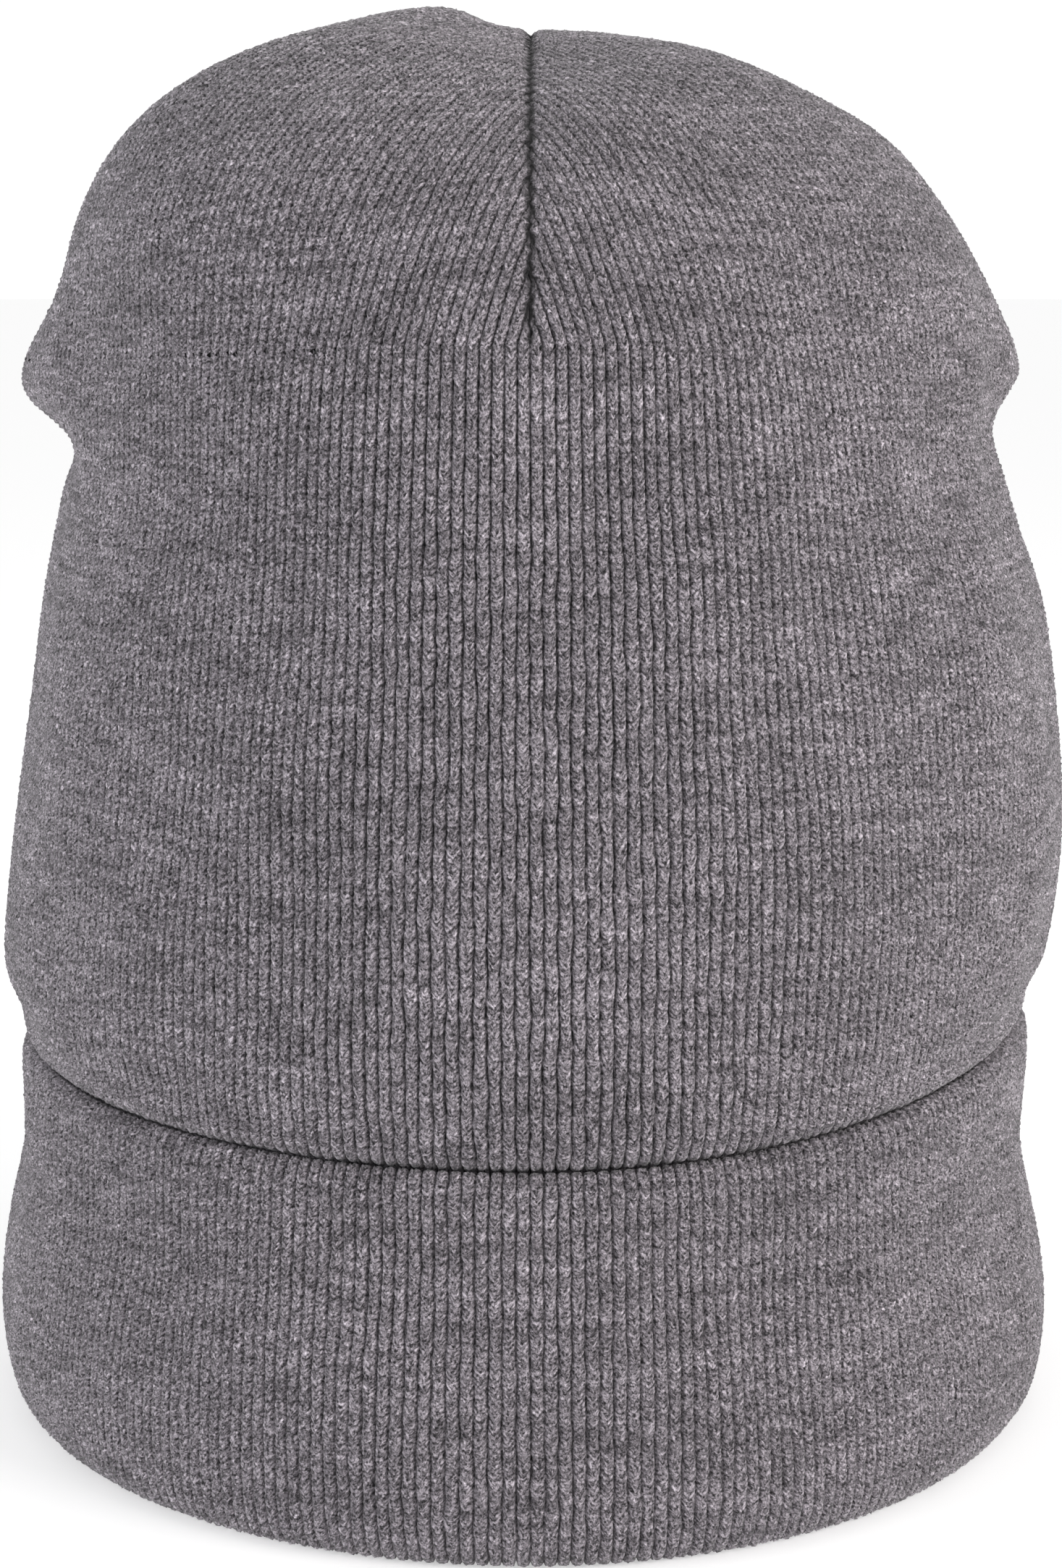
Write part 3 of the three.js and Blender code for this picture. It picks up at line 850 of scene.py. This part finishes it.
def lining(material):
    low = np.interp(LINING_LIFT, STATIONS, CLIMB)
    count = int(-low / PLAIN_ROW)
    distance = np.linspace(low, 0, count + 1)
    points, fabric = body_grid(PLAIN_COLUMNS, PLAIN_PROFILE, distance, np.arange(count + 1) * 2, 0,
                               lining_face_depth, False, True)
    back = back_grid(0, RIBS, low, 0, 2 * RIBS + 1, LINING_BACK_ROWS, lining_depth, False)
    body = ring_piece("knit_lining_body", "lining_body", points, fabric, back, material)
    return [body] + crown(PLAIN_COLUMNS, PLAIN_PROFILE, LINING_CROWN_ROW, lining_face_depth,
                          lining_depth, False, CREASE_DEPTH / 2, material)


def ring_piece(name, replaced, points, fabric, back, material):
    """A solid that closes on itself round the head, cut where its first and last column meet."""
    face = cut_panel(points, fabric, 0, points.shape[1] - 1)
    return knit_piece(name, replaced, face, back, 4, True, material)


# ---- Cuff ----

CUFF_REACH = 6  # the line that its ribs are spread over lies this far out from the tube
CUFF_LEVEL = 1  # and at this height
CUFF_STEPS = 1200  # of the fine centre line
CUFF_SLIM_FROM = 4
CUFF_WANDER = 0.7
CUFF_WANDER_SHIFT = 40  # in ribs, so that its grooves go another way than the body's
CUFF_WANDER_STRETCH = 1.3
CUFF_WANDER_START = (0, 12)
CUFF_WAVE_HEIGHT = 0.35
CUFF_WAVE_START = (8, 26)
CUFF_WAVE_END = (18, 6)  # before the end of its face
BODY_LEVEL = -60  # a distance from the dart tips at which the grooves are as deep as the body's
HIDDEN_LAYER_ROWS = 12
HIDDEN_BACK_GRID = (161, 8)
HIDDEN_RIB_DEPTH = 0.5


def cuff_point(angle, out, height):
    cos = np.cos(angle)
    sin = np.sin(angle)
    share = np.clip(height / CUFF_TOP, 0, 1)
    size, middle, reach = CUFF_SLIMMER
    slimmer = size * bell(height - middle, reach) * np.maximum(cos, 0) ** 2
    out = out - np.where(out > CUFF_BACK_TO, slimmer * smoothstep(out, CUFF_BACK_TO, CUFF_SLIM_FROM), 0)
    width = np.where(cos > 0, TUBE_LEFT, TUBE_RIGHT)
    z = np.maximum(height - cuff_drop(angle) * share, 0)
    return np.stack([(width + out) * cos, (TUBE_DEPTH + out) * sin, z], -1)


def cuff_angle_table():
    """The angle of each rib of the cuff, in columns of a fine table."""
    angle = np.linspace(0, 2 * math.pi, 2881)
    points = cuff_point(angle, np.full_like(angle, CUFF_REACH), np.full_like(angle, CUFF_LEVEL))
    arc = running_length(points)
    rib = np.empty_like(angle)
    for quarter in range(4):
        ends = np.interp(np.array([quarter, quarter + 1]) * math.pi / 2, angle, arc)
        here = (arc >= ends[0] - 1e-9) & (arc <= ends[1] + 1e-9)
        rib[here] = (quarter + (arc[here] - ends[0]) / (ends[1] - ends[0])) * QUARTER_RIBS
    return rib, angle


CUFF_RIBS, CUFF_ANGLES = cuff_angle_table()


def cuff_sides():
    """Both sides of the smooth centre line of the cuff, and the length along its outer side."""
    t = np.linspace(0, len(CUFF_LINE) - 1, CUFF_STEPS + 1)
    centre = spline(CUFF_LINE, t)
    tangent = unit(np.gradient(centre, axis=0))
    reach = np.stack([tangent[:, 1], -tangent[:, 0]], -1) * KNIT / 2
    outer = centre + reach
    inner = centre - reach
    return outer, inner, running_length(outer)


def cuff(material):
    """The visible layer of the cuff, from inside the brim, round it and up to the rolled edge."""
    outer, inner, length = cuff_sides()
    column, rib, slope = rib_columns(RIB_COLUMNS, RIBS)
    row = np.arange(int(length[-1] / HALF_COURSE) - 1)
    distance = row[:, None] * HALF_COURSE + STITCH_CLIMB * slope[None, :]
    ribs = np.broadcast_to(rib, distance.shape)
    fade = smoothstep(distance, *CUFF_WANDER_START) * CUFF_WANDER
    place = ribs + wobble(ribs + CUFF_WANDER_SHIFT, distance * CUFF_WANDER_STRETCH, fade)
    angle = np.interp(np.mod(place, RIBS), CUFF_RIBS, CUFF_ANGLES)
    height = np.interp(distance, length, outer[:, 1])
    point = cuff_point(angle, np.interp(distance, length, outer[:, 0]), height)
    bend = waves(cuff_point(angle, np.full_like(angle, CUFF_REACH), height), CUFF_WAVES)
    rise = smoothstep(distance, *CUFF_WAVE_START)
    rise = rise * (1 - smoothstep(distance, *(length[-1] - np.array(CUFF_WAVE_END))))
    rows = np.broadcast_to(row[:, None], distance.shape)
    columns = np.broadcast_to(column, distance.shape)
    relief = stitch_relief(rows, columns, RIB_PROFILE, np.full_like(distance, BODY_LEVEL))
    point = point + grid_normals(point) * (relief + bend * rise * CUFF_WAVE_HEIGHT)[..., None]
    point[:, -1] = point[:, 0]
    point[..., 2] = np.maximum(point[..., 2], 0)
    fabric = fabric_places(ribs, distance)
    back_at = np.linspace(0, CUFF_STEPS, len(CUFF_LINE)).astype(int)
    per_rib = len(RIB_COLUMNS)
    pieces = []
    for first, last, quarter, name in half_quarters():
        face = cut_panel(point, fabric, first * per_rib, last * per_rib)
        ribs = inset(first, last, np.linspace(0, 1, 2 * HALF_QUARTER + 1))
        back = cuff_back_grid(ribs, *inner[back_at].T, length[back_at] / length[-1])
        pieces.append(knit_piece(f"knit_cuff_{name}", f"cuff_face_{quarter}", face, back, 4, False,
                                 material))
    return pieces


def cuff_back_grid(rib, out, height, up):
    """A plain grid over the cuff: columns at these ribs, and rows this far out and this high."""
    ribs, out = np.meshgrid(rib, out)
    _, height = np.meshgrid(rib, height)
    point = cuff_point(np.interp(ribs, CUFF_RIBS, CUFF_ANGLES), out, height)
    return grid_part(point, np.linspace(0, 1, len(rib)), up, fabric_places(ribs, height))


def cuff_hidden(material):
    """The cuff's hidden layer: ribs that face the outer layer."""
    column, rib, _ = rib_columns(PLAIN_COLUMNS, RIBS)
    ribs, height = np.meshgrid(rib, np.linspace(CUFF_BACK_BOTTOM, CUFF_BACK_TOP, HIDDEN_LAYER_ROWS))
    profile = PLAIN_PROFILE[column % len(PLAIN_COLUMNS)]
    out = np.broadcast_to(CUFF_BACK_FROM + HIDDEN_RIB_DEPTH * (1 - profile), ribs.shape)
    point = cuff_point(np.interp(ribs, CUFF_RIBS, CUFF_ANGLES), out, height)
    point[:, -1] = point[:, 0]
    columns, rows = HIDDEN_BACK_GRID
    heights = np.linspace(CUFF_BACK_BOTTOM, CUFF_BACK_TOP, rows)
    back = cuff_back_grid(np.linspace(0, RIBS, columns), np.full(rows, CUFF_BACK_TO), heights,
                          np.linspace(0, 1, rows))
    fabric = fabric_places(ribs, height)
    return [ring_piece("knit_cuff_hidden_layer", "cuff_back", point, fabric, back, material)]


# ---- Threads and label ----

SEAM_STATIONS = (8.03, 12.5)
SEAM_POINTS = 900
SEAM_WIDTH = 2.1
SEAM_HEIGHT = 0.9
SEAM_LOW = 0.1  # the thread's lowest place, as a share of the height
SEAM_CORE = 0.86  # the folded edges of knit inside a seam, as a share of its thread's size
SEAM_CORE_STEP = 30
SEAM_CORE_SIDES = 9
SEAM_THREAD = 0.14
SEAM_PITCH = 1.6
TACK_RADIUS = 2.1
TACK_START = 0.35
TACK_TURNS = 3.5
TACK_POINTS = 120
TACK_THREAD = 0.32
TACK_UNEVEN = 0.03
LABEL_HALF_ANGLE = 0.115
LABEL_STATIONS = (3.3, 4.8)
LABEL_DEPTH = LINING_NEAR + KNIT + 1.5 + 0.3
LABEL_COLUMNS = 25
LABEL_ROWS = 101
LABEL_FOLD = 0.09  # the fold's height, as a share of the label's
LABEL_PLIES = 0.035  # how soon the plies part above the fold
PLY_GAP = 0.14
PLY_LOOSE = 0.5
PLY_WAVE = 0.08
LABEL_CURL = 0.45
TAPE_THICKNESS = 0.16
LABEL_WIDTH = 19
LABEL_LENGTH = 24
LABEL_STITCHES = 8
LABEL_STITCH_SPAN = 0.84
LABEL_STITCH_DROP = 0.1
STITCH_THREAD = 0.2
STITCH_ARCH = 0.3
STITCH_SINK = 0.1
GAP_STITCHES = 15
GAP_STATIONS = (9.2, 11)
GAP_DEPTH = LINING_FAR + KNIT + EASE
GAP_REACH = 1.1


def ring_faces(count, sides):
    """The faces of a closed solid made of rings of points."""
    index = np.arange(count * sides).reshape(count, sides)
    following = np.roll(index, -1, axis=1)
    quads = np.stack([index[:-1], following[:-1], following[1:], index[1:]], -1).reshape(-1, 4)
    return quads.tolist() + [index[0][::-1].tolist(), index[-1].tolist()]


def tube(path, guide, radius, sides=6):
    """A closed round thread along a path. guide is never along the path."""
    tangent = unit(np.gradient(path, axis=0))
    across = unit(np.cross(tangent, guide))
    over = np.cross(tangent, across)
    turn = np.arange(sides) * 2 * math.pi / sides
    ring = np.cos(turn)[:, None] * across[:, None] + np.sin(turn)[:, None] * over[:, None]
    return (path[:, None] + radius * ring).reshape(-1, 3), ring_faces(len(path), sides)


def thread_piece(name, parts, replaced):
    """One object made of closed threads, each given as points and polygons."""
    points = []
    polygons = []
    count = 0
    for part_points, part_polygons in parts:
        points.append(part_points)
        polygons += [[corner + count for corner in polygon] for polygon in part_polygons]
        count += len(part_points)
    mesh = bpy.data.meshes.new(name)
    mesh.from_pydata((np.concatenate(points) * MM + AXIS).tolist(), [], polygons)
    mesh.shade_smooth()
    mesh.materials.append(thread)
    obj = link_object(name, mesh)
    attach(obj, "root")
    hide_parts(replaced)
    return obj


def line_up(angle, start, end, count, depth, ears):
    """Points up a line of the head, with the ways out of it and across it."""
    station = np.linspace(start, end, count)
    point, normal = layer_surface(np.full(count, angle), station, np.full(count, float(depth)), ears)
    across = unit(np.cross(np.gradient(point, axis=0), normal))
    return point, normal, across


def overlock(angle, depth, ears, outward):
    """A dart seam: the folded edges, and thread that crosses over them from side to side."""
    point, normal, across = line_up(angle, *SEAM_STATIONS, SEAM_POINTS, depth, ears)
    up = normal if outward else -normal
    length = running_length(point)
    sway = np.cos(length / length[-1] * round(length[-1] / SEAM_PITCH) * math.pi)
    rise = np.sqrt(np.maximum(1 - sway**2, 0)) * (1 - SEAM_LOW) + SEAM_LOW
    path = point + across * (sway * SEAM_WIDTH / 2)[:, None] + up * (rise * SEAM_HEIGHT)[:, None]
    turn = np.linspace(0, math.pi, SEAM_CORE_SIDES)
    level = slice(None, None, SEAM_CORE_STEP)
    side = np.cos(turn)[:, None] * across[level][:, None] * SEAM_WIDTH / 2
    over = np.sin(turn)[:, None] * up[level][:, None] * SEAM_HEIGHT
    core = point[level][:, None] + (side + over) * SEAM_CORE
    faces = ring_faces(len(core), SEAM_CORE_SIDES)
    if outward:
        faces = [polygon[::-1] for polygon in faces]
    along = unit(np.gradient(point, axis=0))
    return [(core.reshape(-1, 3), faces), tube(path, along, SEAM_THREAD)]


def tack(depth):
    """A few turns of thread drawn flat under the top of a crown."""
    turn = np.linspace(0, TACK_TURNS * 2 * math.pi, TACK_POINTS)
    radius = np.linspace(TACK_START, TACK_RADIUS - TACK_THREAD, TACK_POINTS)
    height = CROWN_TOP - DART_VALLEY - depth - TACK_START + TACK_UNEVEN * np.sin(turn * 1.7)
    path = np.stack([radius * np.cos(turn), radius * np.sin(turn), height], -1)
    return [tube(path, np.array([[0.0, 0.0, 1.0]]), TACK_THREAD)]


def short_stitches(starts, ends, ways):
    """Single stitches, each an arch from one place to another."""
    t = np.linspace(0, 1, 9)[:, None]
    arch = np.sin(t * math.pi) * STITCH_ARCH - STITCH_SINK
    made = []
    for start, end, way in zip(starts, ends, ways):
        path = start + (end - start) * t + way * arch
        made.append(tube(path, np.cross(end - start, way)[None], STITCH_THREAD))
    return made


def label(material):
    """A tape folded over, with the fold down, sewn to the lining along its upper edge."""
    turn = np.linspace(-1, 1, LABEL_COLUMNS)
    place = np.linspace(-1, 1, LABEL_ROWS)  # from the far ply's upper edge down and up the near one
    turns, places = np.meshgrid(turn, place)
    downs = 1 - np.abs(places) ** 1.02
    spread = PLY_LOOSE * downs**2 * (1 - bell(places, LABEL_FOLD))
    loose = PLY_GAP + spread + PLY_WAVE * downs * np.sin(3 * turns)
    curl = LABEL_CURL * downs**2 * (0.4 + turns * 0.6)
    depth = LABEL_DEPTH + curl + np.tanh(places / LABEL_PLIES) * loose
    low, high = LABEL_STATIONS
    angle = math.pi / 2 + turns * LABEL_HALF_ANGLE * (1 - 0.012 * downs)
    centre, _ = layer_surface(angle, high + (low - high) * downs, depth, False)
    normal = unit(np.cross(np.gradient(centre, axis=1), np.gradient(centre, axis=0)))
    cloth = np.stack(np.meshgrid(turn * LABEL_WIDTH / 2, place * LABEL_LENGTH), -1)
    sides = []
    for way in (0.5, -0.5):
        points = centre + normal * TAPE_THICKNESS * way
        sides.append(grid_part(points, (turn + 1) / 2, place / 2 + 0.5, cloth))
    return knit_piece("woven_care_label", "care_label", *sides, 4, False, material)


def label_stitch_row():
    turn = np.linspace(-LABEL_STITCH_SPAN, LABEL_STITCH_SPAN, 2 * LABEL_STITCHES)
    station = np.full(len(turn), LABEL_STATIONS[1] - LABEL_STITCH_DROP)
    depth = np.full(len(turn), LABEL_DEPTH + STITCH_ARCH)
    point, normal = layer_surface(math.pi / 2 + turn * LABEL_HALF_ANGLE, station, depth, False)
    return short_stitches(point[0::2], point[1::2], -normal[0::2])


def turning_gap():
    """Slanting stitches over the last stretch of the lining's back dart to be closed."""
    point, normal, across = line_up(math.pi / 2, *GAP_STATIONS, 2 * GAP_STITCHES, GAP_DEPTH, False)
    starts = point[0::2] - across[0::2] * GAP_REACH
    ends = point[1::2] + across[1::2] * GAP_REACH
    return short_stitches(starts, ends, -normal[0::2])


# ---- Materials ----

SHEEN_ROUGHNESS = 0.5
SPECULAR = 0.2
KNIT_TINT = (0.181, 0.1645, 0.181)
LINING_TINT = tuple(0.95 * channel for channel in KNIT_TINT)
THREAD_TINT = (0.11, 0.1, 0.115)
TAPE_TINT = (0.7, 0.69, 0.66)
RIB_GROOVE_PAINTED_SHADE = 0.36  # painted shade in the grooves, as a colour multiplier
LINING_GROOVE_PAINTED_SHADE = 0.5
KNIT_BUMP = (0.35, 0.0002)  # strength and height
THREAD_BUMP = (0.4, 0.0002)
TAPE_BUMP = (0.3, 0.0001)
GRAIN_SCALE = 2400.0  # of the mottled fibres, for each metre
GRAIN_DETAIL = (1.5, 0.6)
TWIST_SCALE = 900.0
WEFT = 0.32
WARP = 0.4
SELVEDGE = (1.0, 0.8)

# Noise in the yarn: scale for each rib and each course, a slice of the noise, detail and roughness.
STREAKS = (0.16, 0.75, 0.0, 3.0, 0.5)
CLOUDS = (0.045, 0.075, 7.0, 2.0, 0.5)
FIBRES = (2.9, 1.35, 2.0, 3.0, 0.75)
SPECKS = (3.4, 1.5, 9.0, 2.0, 0.7)
PATCHES = (2.3, 0.55, 5.0, 2.0, 0.5)
STITCH_SLICE = 3.0

# What the noise does to the shade: a range of noise, and the range of shade it is turned into.
STITCH_SHADE = (0.0, 1.0, 0.86, 1.14)
STREAK_SHADE = (0.3, 0.7, 0.6, 1.4)
CLOUD_SHADE = (0.3, 0.7, 0.84, 1.16)
FIBRE_SHADE = (0.34, 0.66, 0.3, 1.7)
GRAIN_SHADE = (0.34, 0.66, 0.15, 1.9)
SPECK_SHADE = (0.54, 0.68, 0.0, 1.1)
# Painted shade: a range of a place in the fabric, and how much it darkens the colour where shadow
# falls.
CROWN_GROOVE_PAINTED_SHADE = (-14.0, 12.0, 0.0, 0.5)  # painted groove shade is kept at least this light, by course from the dart tips
# painted shade in the valleys between rows of stitches
STITCH_VALLEY_PAINTED_SHADE = (0.0, 0.7, 0.87, 1.0)
# painted shade along the dart creases
CREASE_PAINTED_SHADE = (0.15, 0.7, 1.0, 0.1)
TWIST_SHADE = (0.3, 0.7, 0.7, 1.3)
WEAVE_SHADE = (-1.0, 1.0, 0.86, 1.0)


def new_material(name, roughness, sheen):
    material = bpy.data.materials.new(name)
    material["slot"] = name
    material.use_nodes = True
    nodes = material.node_tree.nodes
    nodes.clear()
    shader = nodes.new("ShaderNodeBsdfPrincipled")
    output = nodes.new("ShaderNodeOutputMaterial")
    material.node_tree.links.new(shader.outputs[0], output.inputs[0])
    shader.inputs["Roughness"].default_value = roughness
    shader.inputs["Sheen Weight"].default_value = sheen
    shader.inputs["Sheen Roughness"].default_value = SHEEN_ROUGHNESS
    shader.inputs["Specular IOR Level"].default_value = SPECULAR
    return material, shader


class Graph:
    """Small helpers for a node tree."""

    def __init__(self, material):
        self.tree = material.node_tree

    def node(self, kind, **settings):
        made = self.tree.nodes.new("ShaderNode" + kind)
        for key, value in settings.items():
            setattr(made, key, value)
        return made

    def plug(self, value, socket):
        if hasattr(value, "links"):
            self.tree.links.new(value, socket)
        else:
            socket.default_value = value

    def math(self, operation, *values):
        made = self.node("Math", operation=operation)
        for value, socket in zip(values, made.inputs):
            self.plug(value, socket)
        return made.outputs[0]

    def point(self, x, y, z=0.0):
        made = self.node("CombineXYZ")
        for value, socket in zip((x, y, z), made.inputs):
            self.plug(value, socket)
        return made.outputs[0]

    def noise(self, vector, scale, detail=2.0, roughness=0.5):
        made = self.node("TexNoise")
        self.plug(vector, made.inputs["Vector"])
        made.inputs["Scale"].default_value = scale
        made.inputs["Detail"].default_value = detail
        made.inputs["Roughness"].default_value = roughness
        return made.outputs["Fac"]

    def white(self, vector):
        made = self.node("TexWhiteNoise", noise_dimensions="3D")
        self.plug(vector, made.inputs["Vector"])
        return made.outputs["Value"]

    def product(self, first, *others):
        for other in others:
            first = self.math("MULTIPLY", first, other)
        return first

    def ridge(self, value):
        """0 in the middle of each whole step of a value, and 1 at both of its ends."""
        return self.math("ABSOLUTE", self.math("MULTIPLY_ADD", self.math("FRACT", value), 2.0, -1.0))

    def range(self, value, low, high, to_low, to_high, smooth=False):
        made = self.node("MapRange")
        made.interpolation_type = "SMOOTHSTEP" if smooth else "LINEAR"
        for key, setting in zip(("Value", "From Min", "From Max", "To Min", "To Max"),
                                (value, low, high, to_low, to_high)):
            self.plug(setting, made.inputs[key])
        return made.outputs[0]

    def fabric(self):
        """Both coordinates of the fabric map."""
        parts = self.node("SeparateXYZ")
        self.plug(self.node("UVMap", uv_map="fabric").outputs[0], parts.inputs[0])
        return parts.outputs[0], parts.outputs[1]

    def yarn_noise(self, rib, course, settings):
        rib_scale, course_scale, level, detail, roughness = settings
        place = self.point(self.math("MULTIPLY", rib, rib_scale),
                           self.math("MULTIPLY", course, course_scale), level)
        return self.noise(place, 1.0, detail, roughness)

    def finish(self, shader, tint, shade, height, bump_settings):
        """A tint in many shades as the colour, and a height as a bump."""
        colour = self.node("VectorMath", operation="SCALE")
        colour.inputs[0].default_value = tint
        self.plug(shade, colour.inputs["Scale"])
        self.plug(colour.outputs[0], shader.inputs["Base Color"])
        bump = self.node("Bump")
        bump.inputs["Strength"].default_value, bump.inputs["Distance"].default_value = bump_settings
        self.plug(height, bump.inputs["Height"])
        self.plug(bump.outputs[0], shader.inputs["Normal"])


def heather_knit(name, tint, groove_painted_shade):
    """Heather yarn in rib knit. The shades come from the fabric's own ribs and courses, and painted
    shade darkens its grooves, the valleys between rows of stitches and the dart creases.
    """
    material, shader = new_material(name, 0.92, 0.25)
    g = Graph(material)
    rib, course = g.fabric()
    slope = g.ridge(rib)
    row = g.math("SUBTRACT", course, g.math("MULTIPLY", slope, CHEVRON))
    leg = g.math("FLOOR", g.math("MULTIPLY", rib, 2.0))
    stitch = g.white(g.point(leg, g.math("FLOOR", row), STITCH_SLICE))
    fibre = g.yarn_noise(rib, row, FIBRES)
    grain = g.noise(g.node("TexCoord").outputs["Object"], GRAIN_SCALE, *GRAIN_DETAIL)
    mottle = g.product(
        g.range(stitch, *STITCH_SHADE), g.range(g.yarn_noise(rib, row, STREAKS), *STREAK_SHADE),
        g.range(g.yarn_noise(rib, row, CLOUDS), *CLOUD_SHADE), g.range(fibre, *FIBRE_SHADE),
        g.range(grain, *GRAIN_SHADE),
    )
    yarn = g.math("ADD", mottle, g.range(g.yarn_noise(rib, row, SPECKS), *SPECK_SHADE, True))
    # Painted shade in the grooves: patchy, and lighter in the crown, where the grooves are shallower.
    patchy = g.yarn_noise(rib, course, PATCHES)
    patchy_groove_painted_shade = g.range(patchy, 0.35, 0.65, groove_painted_shade * 0.3, groove_painted_shade * 2.0)
    patchy_groove_painted_shade = g.math("MAXIMUM", patchy_groove_painted_shade, g.range(course, *CROWN_GROOVE_PAINTED_SHADE, True))
    crease = g.node("Attribute", attribute_name="crease").outputs["Fac"]
    # The yarn's own tones, times painted shade in the grooves, between rows of stitches and along the
    # dart creases.
    shade = g.product(
        yarn, g.range(slope, 0.62, 0.97, 1.0, patchy_groove_painted_shade, True), g.range(g.ridge(row), *STITCH_VALLEY_PAINTED_SHADE, True),
        g.range(crease, *CREASE_PAINTED_SHADE, True),
    )
    g.finish(shader, tint, shade, fibre, KNIT_BUMP)
    return material


def thread_material():
    material, shader = new_material("seam_thread", 0.7, 0.1)
    g = Graph(material)
    twist = g.noise(g.node("TexCoord").outputs["Object"], TWIST_SCALE, 3.0)
    g.finish(shader, THREAD_TINT, g.range(twist, *TWIST_SHADE), twist, THREAD_BUMP)
    return material


def tape_material():
    """Woven tape: fine weft lines, and a narrow selvedge along both sides."""
    material, shader = new_material("label_tape", 0.5, 0.2)
    g = Graph(material)
    across, along = g.fabric()
    weft = g.math("SINE", g.math("MULTIPLY", along, 2 * math.pi / WEFT))
    warp = g.math("SINE", g.math("MULTIPLY", across, 2 * math.pi / WARP))
    weave = g.math("MULTIPLY", weft, g.math("MULTIPLY_ADD", warp, 0.3, 0.7))
    start, end = (LABEL_WIDTH / 2 - width for width in SELVEDGE)
    edge = g.range(g.math("ABSOLUTE", across), start, end, 1.0, 0.86)
    g.finish(shader, TAPE_TINT, g.product(g.range(weave, *WEAVE_SHADE), edge), weave, TAPE_BUMP)
    return material


rib_knit = heather_knit("heather_rib", KNIT_TINT, RIB_GROOVE_PAINTED_SHADE)
lining_knit = heather_knit("heather_lining", LINING_TINT, LINING_GROOVE_PAINTED_SHADE)
thread = thread_material()
tape = tape_material()

# ---- Pieces ----

pieces = outer_body(rib_knit) + outer_crown(rib_knit)
join_normals(pieces)
cuff_pieces = cuff(rib_knit)
join_normals(cuff_pieces)
hidden_pieces = cuff_hidden(lining_knit) + lining(lining_knit)
join_normals(hidden_pieces)

tape_label = label(tape)

for made in pieces + cuff_pieces + hidden_pieces + [tape_label]:
    made_object = make_object(made)
    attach(made_object, "root")
    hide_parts(made["replaces"])

for turn, side in enumerate(("left", "back", "right", "front")):
    angle = turn * math.pi / 2
    outer_seam = overlock(angle, OUTER_RIDGE, True, False)
    lining_seam = overlock(angle, LINING_RIDGE + THREAD_RIDGE, False, True)
    thread_piece(f"overlock_outer_{side}", outer_seam, f"outer_dart_seam_{side}")
    thread_piece(f"overlock_lining_{side}", lining_seam, f"lining_dart_seam_{side}")
thread_piece("outer_tack_thread", tack(OUTER_RIDGE + EASE), "outer_crown_tack")
thread_piece("lining_tack_thread", tack(LINING_RIDGE), "lining_crown_tack")
thread_piece("label_stitch_row", label_stitch_row(), "label_stitches")
thread_piece("turning_gap_thread", turning_gap(), "turning_gap_stitches")

# ---- Stage ----

WORLD_LIGHT = 1.03  # near the horizon; overhead it is dimmer
OVERHEAD_LIGHT = 0.5
SKY_RANGE = (0.12, 0.75)  # the upward part of a direction, from the horizon's light to the overhead one
FLOOR_GLOW = 0.45
FLOOR_RADIUS = 12
FLOOR_LEVEL = -0.0002

floor_material, floor_shader = new_material("floor", 0.9, 0.0)
floor_shader.inputs["Base Color"].default_value = (0.8, 0.8, 0.8, 1)
floor_shader.inputs["Emission Color"].default_value = (1, 1, 1, 1)
floor_shader.inputs["Emission Strength"].default_value = FLOOR_GLOW
bpy.ops.mesh.primitive_circle_add(vertices=128, radius=FLOOR_RADIUS, fill_type="NGON",
                                  location=(0, 0, FLOOR_LEVEL))
floor = bpy.context.active_object
floor.name = "floor"
floor.data.materials.append(floor_material)

world = bpy.data.worlds.new("studio")
bpy.context.scene.world = world
world.use_nodes = True
background = world.node_tree.nodes["Background"]
background.inputs["Color"].default_value = (1.0, 1.0, 1.0, 1)
sky = Graph(world)
upward = sky.node("SeparateXYZ")
sky.plug(sky.node("TexCoord").outputs["Generated"], upward.inputs[0])
glow = sky.range(upward.outputs[2], *SKY_RANGE, WORLD_LIGHT, OVERHEAD_LIGHT)
sky.plug(glow, background.inputs["Strength"])


def area_light(name, place, target, size, watts, colour):
    data = bpy.data.lights.new(name, "AREA")
    data.size = size
    data.energy = watts
    data.color = colour
    light = link_object(name, data)
    light.location = place
    way = Vector(target) - Vector(place)
    light.rotation_euler = way.to_track_quat("-Z", "Y").to_euler()


middle = (0, 0, (cad_box[1].z - cad_box[0].z) / 2)
area_light("key", (1.1, -0.9, 0.75), middle, 0.8, 11, (1, 0.97, 0.94))
area_light("fill", (-1.2, -0.7, 0.5), middle, 0.9, 5, (0.93, 0.96, 1))
area_light("top", (0.1, 0.2, 1.4), middle, 1.0, 1.5, (1, 1, 1))

# ---- Camera ----

LENS = 84.8
SENSOR_WIDTH = 36
CAMERA_PLACE = (0.0002, -0.625, 0.192)
CAMERA_DIP = 8.36  # degrees under the horizon

camera_data = bpy.data.cameras.new("camera")
camera_data.lens = LENS
camera_data.sensor_width = SENSOR_WIDTH
camera = link_object("camera", camera_data)
camera.location = CAMERA_PLACE
camera.rotation_euler = (math.radians(90 - CAMERA_DIP), 0, 0)
bpy.context.scene.camera = camera
bpy.context.scene.view_settings.view_transform = "Standard"
